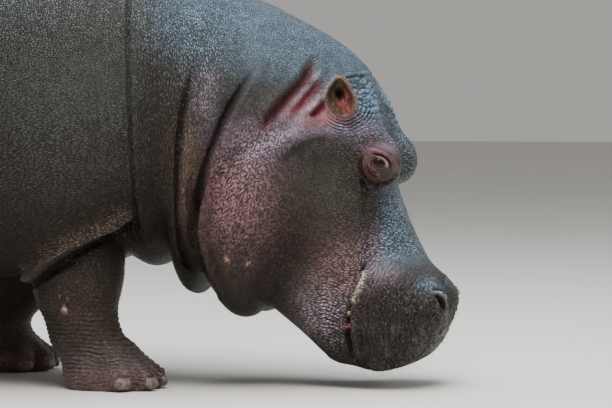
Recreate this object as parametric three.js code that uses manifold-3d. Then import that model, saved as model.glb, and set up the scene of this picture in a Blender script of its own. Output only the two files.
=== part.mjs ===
// A common hippopotamus, life size, standing with its head lowered to graze.
// Millimetres: x runs forward along the animal, y to its left, z up, floor at z = 0.
//
// The animal's form is one continuous field, a distance to its surface that is
// negative inside. Rings of points are cast onto that surface along the spine and
// down each leg, which gives closed solids, and these are parted at the folds.

import * as THREE from 'three';
import { mergeVertices } from 'three/addons/utils/BufferGeometryUtils.js';
import Module from 'manifold-3d';

const wasm = await Module();
wasm.setup();

// ---------------------------------------------------------------- dimensions

const GAP = 0.3;              // clearance between neighbouring parts
const TINY = 1e-9;            // keeps a division from meeting zero
const GIRTH_POWER = 2.25;     // 2 is an ellipse; more is squarer, like a barrel

// Sections of the body, from the tail end along the back and down the face:
// the top and bottom of each (x, z), and its half width.
const SECTIONS = [
  { top: [-1262, 820], bottom: [-1262, 700], half: 70 },
  { top: [-1215, 950], bottom: [-1215, 560], half: 205 },
  { top: [-1110, 1065], bottom: [-1110, 430], half: 330 },
  { top: [-930, 1165], bottom: [-930, 335], half: 440 },
  { top: [-680, 1232], bottom: [-680, 280], half: 515 },
  { top: [-380, 1268], bottom: [-380, 256], half: 548 },
  { top: [-50, 1262], bottom: [-50, 250], half: 545 },
  { top: [270, 1206], bottom: [270, 290], half: 495 },
  { top: [550, 1085], bottom: [520, 345], half: 425 },     // shoulder crease
  { top: [715, 1003], bottom: [605, 360], half: 370 },     // between the throat folds
  { top: [860, 933], bottom: [670, 380], half: 320 },      // behind the jowl
  { top: [965, 873], bottom: [745, 400], half: 268 },
  { top: [1045, 797], bottom: [810, 390], half: 220 },
  { top: [1086, 700], bottom: [850, 350], half: 178 },     // forehead, above the eyes
  { top: [1102, 580], bottom: [885, 300], half: 142 },     // between the eyes
  { top: [1133, 460], bottom: [925, 225], half: 112 },
  { top: [1178, 360], bottom: [970, 155], half: 112 },
  { top: [1222, 285], bottom: [1020, 115], half: 128 },    // muzzle
];
const SHOULDER_CREASE = 8;    // section where the trunk ends and the neck begins
const HEAD_START = 10;        // section where the neck ends and the head begins
const LAST_SECTION = SECTIONS.length - 1;

// Each leg: where its sole lies, how the foot turns out (degrees), and the joints
// above it, with the radius at wrist (or hock), elbow (or knee) and top.
const FRONT_RADII = [80, 116, 150];
const HIND_RADII = [88, 132, 200];
const LEGS = [
  { name: 'fr', sole: [425, -240], turn: -6, wrist: [357, -240, 150], elbow: [335, -245, 300],
    top: [330, -260, 500], radii: FRONT_RADII },
  { name: 'fl', sole: [5, 240], turn: 6, wrist: [-25, 240, 150], elbow: [60, 250, 300],
    top: [220, 260, 500], radii: FRONT_RADII },
  { name: 'hr', sole: [-780, -250], turn: -6, wrist: [-860, -250, 180], elbow: [-840, -265, 350],
    top: [-890, -250, 600], radii: HIND_RADII },
  { name: 'hl', sole: [-1000, 250], turn: 6, wrist: [-1080, 250, 180], elbow: [-1000, 265, 350],
    top: [-940, 250, 600], radii: HIND_RADII },
];
const ANKLE_HEIGHT = 112;     // where a foot ends and its leg begins
const LEG_TOP_HEIGHT = 470;   // a leg's last ring, well inside the trunk
const PAD_RADII = [105, 97, 66];
const PAD_CENTRE = [-10, 0, 30];      // ahead, left and up from the middle of the sole
const PASTERN_FOOT = [-15, 0, 60];
const PASTERN_RADIUS = 80;
const TOE_TURNS = [-54, -19, 19, 54];
const TOE_SIDE_REACH = 88;    // from the middle of the sole to a side toe's tip
const TOE_FRONT_REACH = 103;
const TOE_ROOT = [30, 45, 75];        // its share ahead, its share aside, and its height
const TOE_TIP_HEIGHT = 30;
const TOE_RADII = [46, 37];   // at its root and at its tip
const NAIL_RADII = [12, 23, 18];
const NAIL_HEIGHT = 22;
const NAIL_SINK = 0.6;        // how far in a nail's middle sits, as a share of its depth
const NAIL_TILT = -15;        // its top leans back over the toe, degrees

const EYE_CENTRE = [1099, 151, 572];
const EYE_RADIUS = 24;
const BROW_CENTRE = [1093, 115, 566];
const BROW_RADII = [54, 56, 57];

const EAR_CENTRE = [1012, 205, 737];
const EAR_RADII = [40, 34, 54];
const EAR_HOLLOW_RADII = [31, 34, 44];
const EAR_HOLLOW_SHIFT = [4, 18, -2];     // the hollow's middle from the ear's
const EAR_TAPER = 0.42;       // how much narrower the ear is at its tip, as a share
const EAR_TAPER_HEIGHTS = [-12, 58];      // where the taper starts and ends, from its middle
const EAR_TURN = 12;          // the opening's turn toward the front, degrees
const EAR_LEAN = -6;          // the tip's lean toward the tail, degrees

// The edge of the upper lip seen from the side (x, z), from under the muzzle up to
// the corner of the mouth, then the hidden line above the cheek to the neck.
const MOUTH_LINE = [
  [1100, 0], [1048, 52], [1029, 108], [1026, 170], [1037, 233], [1060, 300],
  [1077, 367], [1078, 430], [1068, 492], [1020, 510], [900, 500], [600, 470],
];
const MOUTH_CUT = 0.8;        // width of the cut that frees the lower jaw

const TAIL = [[-1215, 980], [-1272, 900], [-1292, 780], [-1296, 650]];
const TAIL_RADII = [58, 46, 34, 20];
const TAIL_THICKNESS = 0.62;  // a tail is flattened from side to side
const TAIL_ROOT_DROP = 20;    // its last ring lies this far below its first bone's end

// How wide the rounding is where one form melts into the next.
const MELT = {
  haunch: 120, shoulder: 100, head: 30, jowl: 80, ridge: 60, jaw: 24, mouthCorner: 60,
  muzzleRoot: 70, muzzleBridge: 60, nostril: 45, lips: 30, earRoot: 40, brow: 40,
  limb: 60, pastern: 50, toe: 22, ankle: 40, tail: 30,
};
// The throat's folds are sharp below and melt into the neck above these heights.
const FOLD_MELT = { low: 20, high: 220, from: 550, to: 850 };
const JOWL_MELT = { low: 20, high: 180, from: 600, to: 850 };
const HEAD_BEGINS = 200;      // behind this, the head's forms add nothing

// ------------------------------------------------------- distances and shapes

const { clamp, degToRad, smoothstep } = THREE.MathUtils;

// The union of two distances, rounded where they meet over a width k.
function blend(a, b, k) {
  const overlap = Math.max(k - Math.abs(a - b), 0) / k;
  return Math.min(a, b) - overlap * overlap * k / 4;
}

// tilt lowers the front of the shape by that many degrees.
function ellipsoid([cx, cy, cz], [rx, ry, rz], tilt = 0) {
  const cos = Math.cos(degToRad(tilt));
  const sin = Math.sin(degToRad(tilt));
  return (x, y, z) => {
    const dx = x - cx;
    const dz = z - cz;
    const u = (dx * cos - dz * sin) / rx;
    const v = (y - cy) / ry;
    const w = (dx * sin + dz * cos) / rz;
    const scaled = Math.hypot(u, v, w);
    return scaled * (scaled - 1) / (Math.hypot(u / rx, v / ry, w / rz) + TINY);
  };
}

// A bone from a to b whose radius runs from ra to rb; wide stretches it sideways.
function bone(a, b, ra, rb, wide = 1) {
  const along = b.map((value, i) => value - a[i]);
  const lengthSquared = along.reduce((sum, value) => sum + value * value, 0);
  return (x, y, z) => {
    const [px, py, pz] = [x - a[0], y - a[1], z - a[2]];
    const share = clamp((px * along[0] + py * along[1] + pz * along[2]) / lengthSquared, 0, 1);
    const across = (py - share * along[1]) / wide;
    return Math.hypot(px - share * along[0], across, pz - share * along[2]) - ra - (rb - ra) * share;
  };
}

function catmullRom(a, b, c, d, t) {
  return 0.5 * (2 * b + (c - a) * t + (2 * a - 5 * b + 4 * c - d) * t * t
    + (3 * b - a - 3 * c + d) * t * t * t);
}

// The section at a place between 0 and LAST_SECTION, smoothly between the rows.
function sectionAt(place) {
  const i = Math.min(Math.floor(place), LAST_SECTION - 1);
  const rows = [i - 1, i, i + 1, i + 2].map((k) => {
    const row = SECTIONS[clamp(k, 0, LAST_SECTION)];
    return [...row.top, ...row.bottom, row.half];
  });
  const [topX, topZ, bottomX, bottomZ, half] = rows[0].map(
    (_, column) => catmullRom(...rows.map((row) => row[column]), place - i));
  const height = Math.hypot(topX - bottomX, topZ - bottomZ);
  return {
    middle: [(topX + bottomX) / 2, 0, (topZ + bottomZ) / 2],
    up: [(topX - bottomX) / height, 0, (topZ - bottomZ) / height],
    side: [0, 1, 0],
    half, halfHeight: height / 2, bottomX, bottomZ,
  };
}

// Distance ahead of a section's plane.
function ahead(section, x, z) {
  return (x - section.bottomX) * section.up[2] - (z - section.bottomZ) * section.up[0];
}

const sectionRows = SECTIONS.map((_, i) => sectionAt(i));

// The body and head as one form swept through the sections.
function torso(x, y, z) {
  let i = 0;
  while (i < LAST_SECTION - 1 && ahead(sectionRows[i + 1], x, z) > 0) i += 1;
  const behind = ahead(sectionRows[i], x, z);
  const before = -ahead(sectionRows[i + 1], x, z);
  const section = sectionAt(i + clamp(behind / (behind + before + TINY), 0, 1));
  const height = (x - section.middle[0]) * section.up[0] + (z - section.middle[2]) * section.up[2];
  const reach = (Math.abs(y / section.half) ** GIRTH_POWER
    + Math.abs(height / section.halfHeight) ** GIRTH_POWER) ** (1 / GIRTH_POWER);
  const girth = (reach - 1) * Math.min(section.half, section.halfHeight);
  return Math.max(girth, -behind, -before);
}

const haunch = ellipsoid([-920, 235, 590], [265, 205, 345], -12);
const shoulder = ellipsoid([300, 250, 680], [210, 232, 370], 4);
const throatFold = ellipsoid([500, 0, 600], [112, 392, 300], 2);
const neckFold = ellipsoid([617, 0, 530], [70, 340, 300], 4);
const jowlBag = ellipsoid([740, 100, 326], [84, 200, 150], -6);
const jowlTop = ellipsoid([782, 140, 468], [138, 205, 205], 20);
const cheek = ellipsoid([925, 110, 460], [145, 115, 200], 10);
const cheekRidge = bone([870, 205, 640], [1045, 140, 640], 42, 34);
const jaw = bone([872, 78, 275], [1000, 68, 128], 95, 66, 1.4);
const mouthCorner = ellipsoid([985, 105, 310], [92, 66, 110], -10);
const muzzleLobe = ellipsoid([1117, 85, 169], [142, 124, 108], -42);
const muzzleBridge = ellipsoid([1140, 0, 178], [104, 90, 106], -40);
const muzzleRoot = ellipsoid([1100, 98, 245], [85, 84, 100], 10);
const nostrilBump = ellipsoid([1205, 74, 224], [46, 46, 41]);
const browBump = ellipsoid(BROW_CENTRE, BROW_RADII);
const browRidge = bone([1035, 96, 690], [1078, 108, 600], 50, 48);
const earRoot = ellipsoid([985, 175, 715], [45, 36, 45]);

function meltAt(z, { low, high, from, to }) {
  return low + (high - low) * smoothstep(z, from, to);
}

function head(x, y, z) {
  const folds = blend(throatFold(x, y, z), neckFold(x, y, z), meltAt(z, FOLD_MELT));
  const bags = blend(jowlBag(x, y, z), jowlTop(x, y, z), MELT.jowl);
  const jowl = blend(bags, cheek(x, y, z), MELT.jowl);
  const lobes = blend(muzzleLobe(x, y, z), muzzleRoot(x, y, z), MELT.muzzleRoot);
  const muzzle = blend(lobes, muzzleBridge(x, y, z), MELT.muzzleBridge);
  const brow = blend(browBump(x, y, z), browRidge(x, y, z), MELT.brow);
  let d = blend(folds, jowl, meltAt(z, JOWL_MELT));
  d = blend(d, cheekRidge(x, y, z), MELT.ridge);
  d = blend(d, jaw(x, y, z), MELT.jaw);
  d = blend(d, mouthCorner(x, y, z), MELT.mouthCorner);
  d = blend(d, blend(muzzle, nostrilBump(x, y, z), MELT.nostril), MELT.lips);
  d = blend(d, earRoot(x, y, z), MELT.earRoot);
  return blend(d, brow, MELT.brow);
}

// Trunk, neck and head, without the legs, ears and tail.
function body(x, yEither, z) {
  const y = Math.abs(yEither);
  let d = torso(x, y, z);
  d = blend(d, haunch(x, y, z), MELT.haunch);
  d = blend(d, shoulder(x, y, z), MELT.shoulder);
  return x > HEAD_BEGINS ? blend(d, head(x, y, z), MELT.head) : d;
}

// A point of the sole's own frame (ahead, left, up) in the animal's frame.
function onFoot({ sole, turn }, forward, left, up) {
  const cos = Math.cos(degToRad(turn));
  const sin = Math.sin(degToRad(turn));
  return [sole[0] + forward * cos - left * sin, sole[1] + forward * sin + left * cos, up];
}

function toeReach(toeTurn) {
  return Math.abs(toeTurn) === TOE_TURNS[2] ? TOE_FRONT_REACH : TOE_SIDE_REACH;
}

function legField(leg) {
  const pad = ellipsoid(onFoot(leg, ...PAD_CENTRE), PAD_RADII);
  const shank = bone(leg.wrist, leg.elbow, leg.radii[0], leg.radii[1]);
  const forearm = bone(leg.elbow, leg.top, leg.radii[1], leg.radii[2]);
  const pastern = bone(leg.wrist, onFoot(leg, ...PASTERN_FOOT), leg.radii[0], PASTERN_RADIUS);
  const toes = TOE_TURNS.map((toeTurn) => {
    const cos = Math.cos(degToRad(toeTurn));
    const sin = Math.sin(degToRad(toeTurn));
    const reach = toeReach(toeTurn);
    const root = onFoot(leg, TOE_ROOT[0] * cos, TOE_ROOT[1] * sin, TOE_ROOT[2]);
    return bone(root, onFoot(leg, reach * cos, reach * sin, TOE_TIP_HEIGHT), ...TOE_RADII);
  });
  return (x, y, z) => {
    let foot = blend(pad(x, y, z), pastern(x, y, z), MELT.pastern);
    for (const toe of toes) foot = blend(foot, toe(x, y, z), MELT.toe);
    return blend(blend(shank(x, y, z), forearm(x, y, z), MELT.limb), foot, MELT.ankle);
  };
}

// ------------------------------------------------------------ rings to solids

const CAST_STRIDE = 0.6;      // each step inward, as a share of the distance left
const LEAST_STRIDE = 1;
const HALVINGS = 20;
const SAME_POINT = 1e-3;      // points nearer than this are one

// Distance from a ring's middle, along a direction, to the last crossing of the
// surface that lies grow outside the field's own.
function castRadius(field, middle, direction, reach, grow) {
  const distanceAt = (r) => field(middle[0] + r * direction[0], middle[1] + r * direction[1],
    middle[2] + r * direction[2]) - grow;
  let outside = reach;
  let inside = reach;
  while (inside > 0) {
    const distance = distanceAt(inside);
    if (distance <= 0) break;
    outside = inside;
    inside -= Math.max(CAST_STRIDE * distance, LEAST_STRIDE);
  }
  for (let step = 0; step < HALVINGS; step += 1) {
    const half = (inside + outside) / 2;
    if (distanceAt(half) > 0) outside = half;
    else inside = half;
  }
  return inside;
}

const apart = (a, b) => Math.hypot(...a.map((value, i) => value - b[i]));

// A closed solid from rings of cast points. A ring has a middle, two directions
// (up, side), a reach to cast from, and perhaps a shift along the row of rings.
// A tip closes an end with a point cast from the end ring; otherwise it is flat.
function wrap(field, rings, spokes, { grow = 0, crowd = 0, tips = [null, null] } = {}) {
  const points = [];
  for (const ring of rings) {
    for (let spoke = 0; spoke < spokes; spoke += 1) {
      const even = 2 * Math.PI * spoke / spokes;
      const angle = even - crowd * Math.sin(even);
      const direction = ring.up.map((value, i) => value * Math.cos(angle) + ring.side[i] * Math.sin(angle));
      const radius = castRadius(field, ring.middle, direction, ring.reach, grow);
      points.push(direction.map((value, i) => ring.middle[i] + radius * value));
    }
  }
  const ends = [rings[0], rings[rings.length - 1]].map((ring, i) => {
    if (!tips[i]) return ring.middle;
    const radius = castRadius(field, ring.middle, tips[i], ring.reach, grow);
    return tips[i].map((value, k) => ring.middle[k] + radius * value);
  });
  points.push(...ends);
  const triangles = [];
  const lastRing = (rings.length - 1) * spokes;
  for (let spoke = 0; spoke < spokes; spoke += 1) {
    const next = (spoke + 1) % spokes;
    for (let row = 0; row < lastRing; row += spokes) {
      const [a, b, c, d] = [row + spoke, row + next, row + spokes + next, row + spokes + spoke];
      if (apart(points[a], points[c]) < apart(points[b], points[d])) triangles.push([a, b, c], [a, c, d]);
      else triangles.push([a, b, d], [b, c, d]);
    }
    triangles.push([points.length - 2, next, spoke]);
    triangles.push([points.length - 1, lastRing + spoke, lastRing + next]);
  }
  return solidFrom(points.flat(), triangles.flat());
}

// A solid from plain lists, turned the right way out.
function solidFrom(positions, indices) {
  const vertProperties = Float32Array.from(positions);
  const triVerts = Uint32Array.from(indices);
  const corner = (k) => new THREE.Vector3().fromArray(vertProperties, 3 * triVerts[k]);
  let volume = 0;
  for (let k = 0; k < triVerts.length; k += 3) {
    volume += corner(k).dot(corner(k + 1).cross(corner(k + 2)));
  }
  if (volume < 0) {
    for (let k = 0; k < triVerts.length; k += 3) {
      [triVerts[k], triVerts[k + 1]] = [triVerts[k + 1], triVerts[k]];
    }
  }
  return new wasm.Manifold(new wasm.Mesh({ numProp: 3, vertProperties, triVerts }));
}

function solidFromGeometry(geometry, matrix = new THREE.Matrix4()) {
  const plain = geometry.clone().applyMatrix4(matrix);
  for (const name of Object.keys(plain.attributes)) {
    if (name !== 'position') plain.deleteAttribute(name);
  }
  const merged = mergeVertices(plain, SAME_POINT);
  return solidFrom(merged.attributes.position.array, merged.index.array);
}

// Facets are the counts round and down. A width can be given for each height.
function ellipsoidSolid(centre, radii, turns, facets, widthAt = () => 1) {
  const geometry = new THREE.SphereGeometry(1, ...facets).scale(...radii);
  const points = geometry.attributes.position;
  for (let i = 0; i < points.count; i += 1) {
    points.setX(i, points.getX(i) * widthAt(points.getZ(i)));
  }
  const matrix = new THREE.Matrix4().compose(
    new THREE.Vector3(...centre),
    new THREE.Quaternion().setFromEuler(new THREE.Euler(...turns.map(degToRad), 'ZYX')),
    new THREE.Vector3(1, 1, 1));
  return solidFromGeometry(geometry, matrix);
}

const mirrored = ([x, y, z], side) => [x, side * y, z];
const grown = (radii) => radii.map((radius) => radius + GAP);

// Rings of the body from one section place to another.
function bodyRings(from, to, count, reach) {
  return Array.from({ length: count }, (_, i) => {
    const ring = sectionAt(from + (to - from) * i / (count - 1));
    return { ...ring, reach };
  });
}

// Moves a ring along the way the body runs, to leave a gap at a parting.
function shifted(ring, distance) {
  const [upX, , upZ] = ring.up;
  const middle = [ring.middle[0] + distance * upZ, 0, ring.middle[2] - distance * upX];
  return { ...ring, middle };
}

// --------------------------------------------------------------------- parts

// How far out each part's points are cast from.
const BODY_REACH = 750;
const HEAD_REACH = 520;
const LEG_REACH = 300;
const TAIL_REACH = 160;

// Points round each ring, and rings along each part.
const TRUNK_SPOKES = 28;
const HEAD_SPOKES = 34;
const FOOT_SPOKES = 20;
const LEG_SPOKES = 14;
const TAIL_SPOKES = 10;
const TRUNK_RINGS = 18;
const NECK_RINGS = 8;
const HEAD_RINGS = 25;
const LEG_RINGS = 8;
const TAIL_RINGS = 7;
const TRUNK_START = 0.15;     // the trunk's first ring, in sections from the tail end
const MUZZLE_STEPS = [28, 56, 82, 104, 120, 130];
const FOOT_HEIGHTS = [0, 14, 36, 68];
const TOE_CROWDING = 0.45;    // draws a foot's points together toward the toes

const EYE_FACETS = [11, 8];
const EAR_FACETS = [13, 9];
const EAR_HOLLOW_FACETS = [10, 8];
const NAIL_FACETS = [6, 4];

function trunkSolid(grow) {
  const rings = bodyRings(TRUNK_START, SHOULDER_CREASE, TRUNK_RINGS, BODY_REACH);
  rings.push(shifted(rings.pop(), grow - GAP / 2));
  return wrap(body, rings, TRUNK_SPOKES, { grow, tips: [[-1, 0, 0], null] });
}

function neckSolid(grow) {
  const rings = bodyRings(SHOULDER_CREASE, HEAD_START, NECK_RINGS, BODY_REACH);
  rings.unshift(shifted(rings.shift(), GAP / 2 - grow));
  rings.push(shifted(rings.pop(), grow - GAP / 2));
  return wrap(body, rings, HEAD_SPOKES, { grow });
}

// Beyond the last section more rings follow the muzzle round to its front.
function headSolid(grow) {
  const rings = bodyRings(HEAD_START, LAST_SECTION, HEAD_RINGS, HEAD_REACH);
  rings.unshift(shifted(rings.shift(), GAP / 2 - grow));
  const last = rings[rings.length - 1];
  rings.push(...MUZZLE_STEPS.map((step) => shifted(last, step)));
  return wrap(body, rings, HEAD_SPOKES, { grow, tips: [null, [last.up[2], 0, -last.up[0]]] });
}

function lerpThrough(stations, value) {
  const last = stations.length - 1;
  let i = 0;
  while (i < last - 1 && value > stations[i + 1][2]) i += 1;
  const share = (value - stations[i][2]) / (stations[i + 1][2] - stations[i][2]);
  return stations[i].map((start, k) => start + (stations[i + 1][k] - start) * share);
}

function legRings(leg, heights) {
  const stations = [[...leg.sole, 0], leg.wrist, leg.elbow, leg.top];
  const turn = degToRad(leg.turn);
  return heights.map((height) => ({
    middle: lerpThrough(stations, height),
    up: [Math.cos(turn), Math.sin(turn), 0],
    side: [-Math.sin(turn), Math.cos(turn), 0],
    reach: LEG_REACH,
  }));
}

const spread = (from, to, count) => Array.from(
  { length: count }, (_, i) => from + (to - from) * i / (count - 1));

const limbs = LEGS.map((leg) => {
  const field = legField(leg);
  const footHeights = [...FOOT_HEIGHTS, ANKLE_HEIGHT - GAP / 2];
  const legHeights = spread(ANKLE_HEIGHT + GAP / 2, LEG_TOP_HEIGHT, LEG_RINGS);
  return {
    ...leg,
    foot: wrap(field, legRings(leg, footHeights), FOOT_SPOKES, { crowd: TOE_CROWDING }),
    shaft: wrap(field, legRings(leg, legHeights), LEG_SPOKES),
  };
});

function nailSolid(leg, toeTurn, radii) {
  const reach = toeReach(toeTurn) + TOE_RADII[1] - NAIL_SINK * NAIL_RADII[0];
  const angle = degToRad(toeTurn);
  const centre = onFoot(leg, reach * Math.cos(angle), reach * Math.sin(angle), NAIL_HEIGHT);
  return ellipsoidSolid(centre, radii, [0, NAIL_TILT, leg.turn + toeTurn], NAIL_FACETS);
}

// The ear's width at a height above its middle, as a share of its widest.
function earWidthAt(height) {
  return 1 - EAR_TAPER * smoothstep(height, ...EAR_TAPER_HEIGHTS);
}

function earSolid(side) {
  const turns = [0, EAR_LEAN, side * EAR_TURN];
  const centre = mirrored(EAR_CENTRE, side);
  const outer = ellipsoidSolid(centre, EAR_RADII, turns, EAR_FACETS, earWidthAt);
  const hollowCentre = mirrored(EAR_CENTRE.map((value, i) => value + EAR_HOLLOW_SHIFT[i]), side);
  const hollow = ellipsoidSolid(hollowCentre, EAR_HOLLOW_RADII, turns, EAR_HOLLOW_FACETS, earWidthAt);
  return outer.subtract(hollow);
}

// A thin wall along the mouth line, as wide as the head.
function mouthCutSolid() {
  const line = MOUTH_LINE.map(([x, z]) => new THREE.Vector2(x, z));
  const offset = (side) => line.map((point, i) => {
    const before = line[Math.max(i - 1, 0)];
    const after = line[Math.min(i + 1, line.length - 1)];
    const across = after.clone().sub(before).normalize().rotateAround(new THREE.Vector2(), Math.PI / 2);
    return point.clone().addScaledVector(across, side * MOUTH_CUT / 2);
  });
  const shape = new THREE.Shape([...offset(1), ...offset(-1).reverse()]);
  const wall = new THREE.ExtrudeGeometry(shape, { depth: 2 * BODY_REACH, bevelEnabled: false });
  const standing = new THREE.Matrix4().makeTranslation(0, BODY_REACH, 0)
    .multiply(new THREE.Matrix4().makeRotationX(Math.PI / 2));
  return solidFromGeometry(wall, standing);
}

function tailField(x, y, z) {
  let d = Infinity;
  for (let i = 0; i < TAIL.length - 1; i += 1) {
    const [[ax, az], [bx, bz]] = [TAIL[i], TAIL[i + 1]];
    const length = bone([ax, 0, az], [bx, 0, bz], TAIL_RADII[i], TAIL_RADII[i + 1], TAIL_THICKNESS);
    d = i === 0 ? length(x, y, z) : blend(d, length(x, y, z), MELT.tail);
  }
  return d;
}

function tailSolid() {
  const top = TAIL[0][1];
  const tip = TAIL[TAIL.length - 1][1];
  const stations = TAIL.map(([x, z]) => [x, 0, z]).reverse();
  const rings = spread(tip, top - TAIL_ROOT_DROP, TAIL_RINGS).map((height) => ({
    middle: lerpThrough(stations, height), up: [1, 0, 0], side: [0, 1, 0], reach: TAIL_REACH,
  }));
  return wrap(tailField, rings, TAIL_SPOKES, { tips: [[0, 0, -1], null] });
}

// ------------------------------------------------------------------ the model

const hide = new THREE.MeshStandardMaterial({ color: 0x6b6468, roughness: 0.62, metalness: 0 });
const bareHide = new THREE.MeshStandardMaterial({ color: 0x8b6e72, roughness: 0.6, metalness: 0 });
const nailHorn = new THREE.MeshStandardMaterial({ color: 0x8c7a72, roughness: 0.5, metalness: 0 });
const eyeWet = new THREE.MeshStandardMaterial({ color: 0x2a1c16, roughness: 0.08, metalness: 0 });

const hippopotamus = new THREE.Group();
hippopotamus.name = 'hippopotamus';

function addPart(name, solid, material) {
  const mesh = solid.getMesh();
  const geometry = new THREE.BufferGeometry();
  geometry.setAttribute('position', new THREE.BufferAttribute(mesh.vertProperties, 3));
  geometry.setIndex(new THREE.BufferAttribute(mesh.triVerts, 1));
  geometry.computeVertexNormals();
  const part = new THREE.Mesh(geometry, material);
  part.name = name;
  hippopotamus.add(part);
}

// The largest of the pieces that a cut leaves.
function largest(solid) {
  return solid.decompose().sort((a, b) => b.volume() - a.volume())[0];
}

const trunkGrown = trunkSolid(GAP);
const neckGrown = neckSolid(GAP);
const headGrown = headSolid(GAP);

addPart('trunk', trunkSolid(0), hide);
addPart('neck', neckSolid(0), hide);

let headWhole = headSolid(0);
for (const [name, side] of [['l', 1], ['r', -1]]) {
  const centre = mirrored(EYE_CENTRE, side);
  const radii = [EYE_RADIUS, EYE_RADIUS, EYE_RADIUS];
  headWhole = headWhole.subtract(ellipsoidSolid(centre, grown(radii), [0, 0, 0], EYE_FACETS));
  addPart(`eye_${name}`, ellipsoidSolid(centre, radii, [0, 0, 0], EYE_FACETS), eyeWet);
  addPart(`ear_${name}`, largest(earSolid(side).subtract(headGrown)), bareHide);
}
const [upperHead, lowerJaw] = headWhole.subtract(mouthCutSolid()).decompose()
  .sort((a, b) => b.boundingBox().max[2] - a.boundingBox().max[2]);
addPart('head', upperHead, hide);
addPart('lower_jaw', lowerJaw, hide);

for (const limb of limbs) {
  const shaft = limb.shaft.subtract(trunkGrown).subtract(neckGrown);
  addPart(`leg_${limb.name}`, largest(shaft), hide);
  let foot = limb.foot;
  TOE_TURNS.forEach((toeTurn, i) => {
    foot = foot.subtract(nailSolid(limb, toeTurn, grown(NAIL_RADII)));
    addPart(`nail_${limb.name}_${i + 1}`, nailSolid(limb, toeTurn, NAIL_RADII), nailHorn);
  });
  addPart(`foot_${limb.name}`, largest(foot), hide);
}

addPart('tail', largest(tailSolid().subtract(trunkGrown)), hide);

// The origin lies on the floor under the middle of the animal's length.
const extent = new THREE.Box3().setFromObject(hippopotamus);
hippopotamus.position.x = -(extent.min.x + extent.max.x) / 2;

export default hippopotamus;
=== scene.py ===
# A common hippopotamus, life size, standing with its head lowered to graze.
#
# The skin is one surface. A distance field gives the body's form, a mesh is laid on
# it and refined on the face and feet, and its points are then moved in and out for
# folds, lids, lips and wrinkles. Metres, x forward, y to the animal's left, z up.
import math

import bmesh
import bpy
import numpy as np
from mathutils import Matrix, Vector


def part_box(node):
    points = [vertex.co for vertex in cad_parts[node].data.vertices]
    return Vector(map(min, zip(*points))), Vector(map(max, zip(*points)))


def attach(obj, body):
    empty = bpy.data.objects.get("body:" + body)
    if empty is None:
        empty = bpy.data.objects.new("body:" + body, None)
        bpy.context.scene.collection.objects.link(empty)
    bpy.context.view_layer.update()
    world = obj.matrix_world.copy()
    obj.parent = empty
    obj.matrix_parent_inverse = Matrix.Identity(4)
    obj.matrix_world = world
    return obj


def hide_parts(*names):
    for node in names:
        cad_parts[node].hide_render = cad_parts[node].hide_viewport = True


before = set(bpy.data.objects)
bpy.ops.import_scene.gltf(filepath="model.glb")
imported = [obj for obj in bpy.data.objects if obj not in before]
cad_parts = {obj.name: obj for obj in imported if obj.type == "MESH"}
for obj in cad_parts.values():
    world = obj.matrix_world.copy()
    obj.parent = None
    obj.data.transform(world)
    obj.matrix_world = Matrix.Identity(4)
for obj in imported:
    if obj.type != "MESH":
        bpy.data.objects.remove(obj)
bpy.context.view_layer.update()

# ------------------------------------------------------------------ dimensions

# Sections of the body, from the tail end along the back and down the face:
# the top and bottom of each (x, z, x, z), and its half width.
SECTIONS = np.array([
    (-1.262, 0.820, -1.262, 0.700, 0.070),
    (-1.215, 0.950, -1.215, 0.560, 0.205),
    (-1.110, 1.065, -1.110, 0.430, 0.330),
    (-0.930, 1.165, -0.930, 0.335, 0.440),
    (-0.680, 1.232, -0.680, 0.280, 0.515),
    (-0.380, 1.268, -0.380, 0.256, 0.548),
    (-0.050, 1.262, -0.050, 0.250, 0.545),
    (0.270, 1.206, 0.270, 0.290, 0.495),
    (0.550, 1.085, 0.520, 0.345, 0.425),    # shoulder crease
    (0.715, 1.003, 0.605, 0.360, 0.370),    # between the throat folds
    (0.860, 0.933, 0.670, 0.380, 0.320),    # behind the jowl
    (0.965, 0.873, 0.745, 0.400, 0.268),
    (1.045, 0.797, 0.810, 0.390, 0.220),
    (1.086, 0.700, 0.850, 0.350, 0.178),    # forehead, above the eyes
    (1.102, 0.580, 0.885, 0.300, 0.142),    # between the eyes
    (1.133, 0.460, 0.925, 0.225, 0.112),
    (1.178, 0.360, 0.970, 0.155, 0.112),
    (1.222, 0.285, 1.020, 0.115, 0.128),    # muzzle
])
GIRTH_POWER = 2.25          # 2 is an ellipse; more is squarer, like a barrel

FRONT_RADII = (0.080, 0.116, 0.150)     # at wrist, elbow and top
HIND_RADII = (0.088, 0.132, 0.200)      # at hock, knee and top
LEGS = {
    "fr": dict(sole=(0.425, -0.240), turn=-6, wrist=(0.357, -0.240, 0.150), elbow=(0.335, -0.245, 0.300),
               top=(0.330, -0.260, 0.500), radii=FRONT_RADII),
    "fl": dict(sole=(0.005, 0.240), turn=6, wrist=(-0.025, 0.240, 0.150), elbow=(0.060, 0.250, 0.300),
               top=(0.220, 0.260, 0.500), radii=FRONT_RADII),
    "hr": dict(sole=(-0.780, -0.250), turn=-6, wrist=(-0.860, -0.250, 0.180), elbow=(-0.840, -0.265, 0.350),
               top=(-0.890, -0.250, 0.600), radii=HIND_RADII),
    "hl": dict(sole=(-1.000, 0.250), turn=6, wrist=(-1.080, 0.250, 0.180), elbow=(-1.000, 0.265, 0.350),
               top=(-0.940, 0.250, 0.600), radii=HIND_RADII),
}
PAD_RADII = (0.105, 0.097, 0.066)
TOE_TURNS = (-54, -19, 19, 54)
TOE_REACH = {54: 0.088, 19: 0.103}
TOE_RADII = (0.046, 0.037)
NAIL_RADII = (0.012, 0.023, 0.018)
NAIL_HEIGHT = 0.022

EYE = np.array((1.099, 0.151, 0.572))   # the left one; the right mirrors it
EYE_RADIUS = 0.024
BROW = (1.093, 0.115, 0.566)
BROW_RADII = (0.054, 0.056, 0.057)

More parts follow.
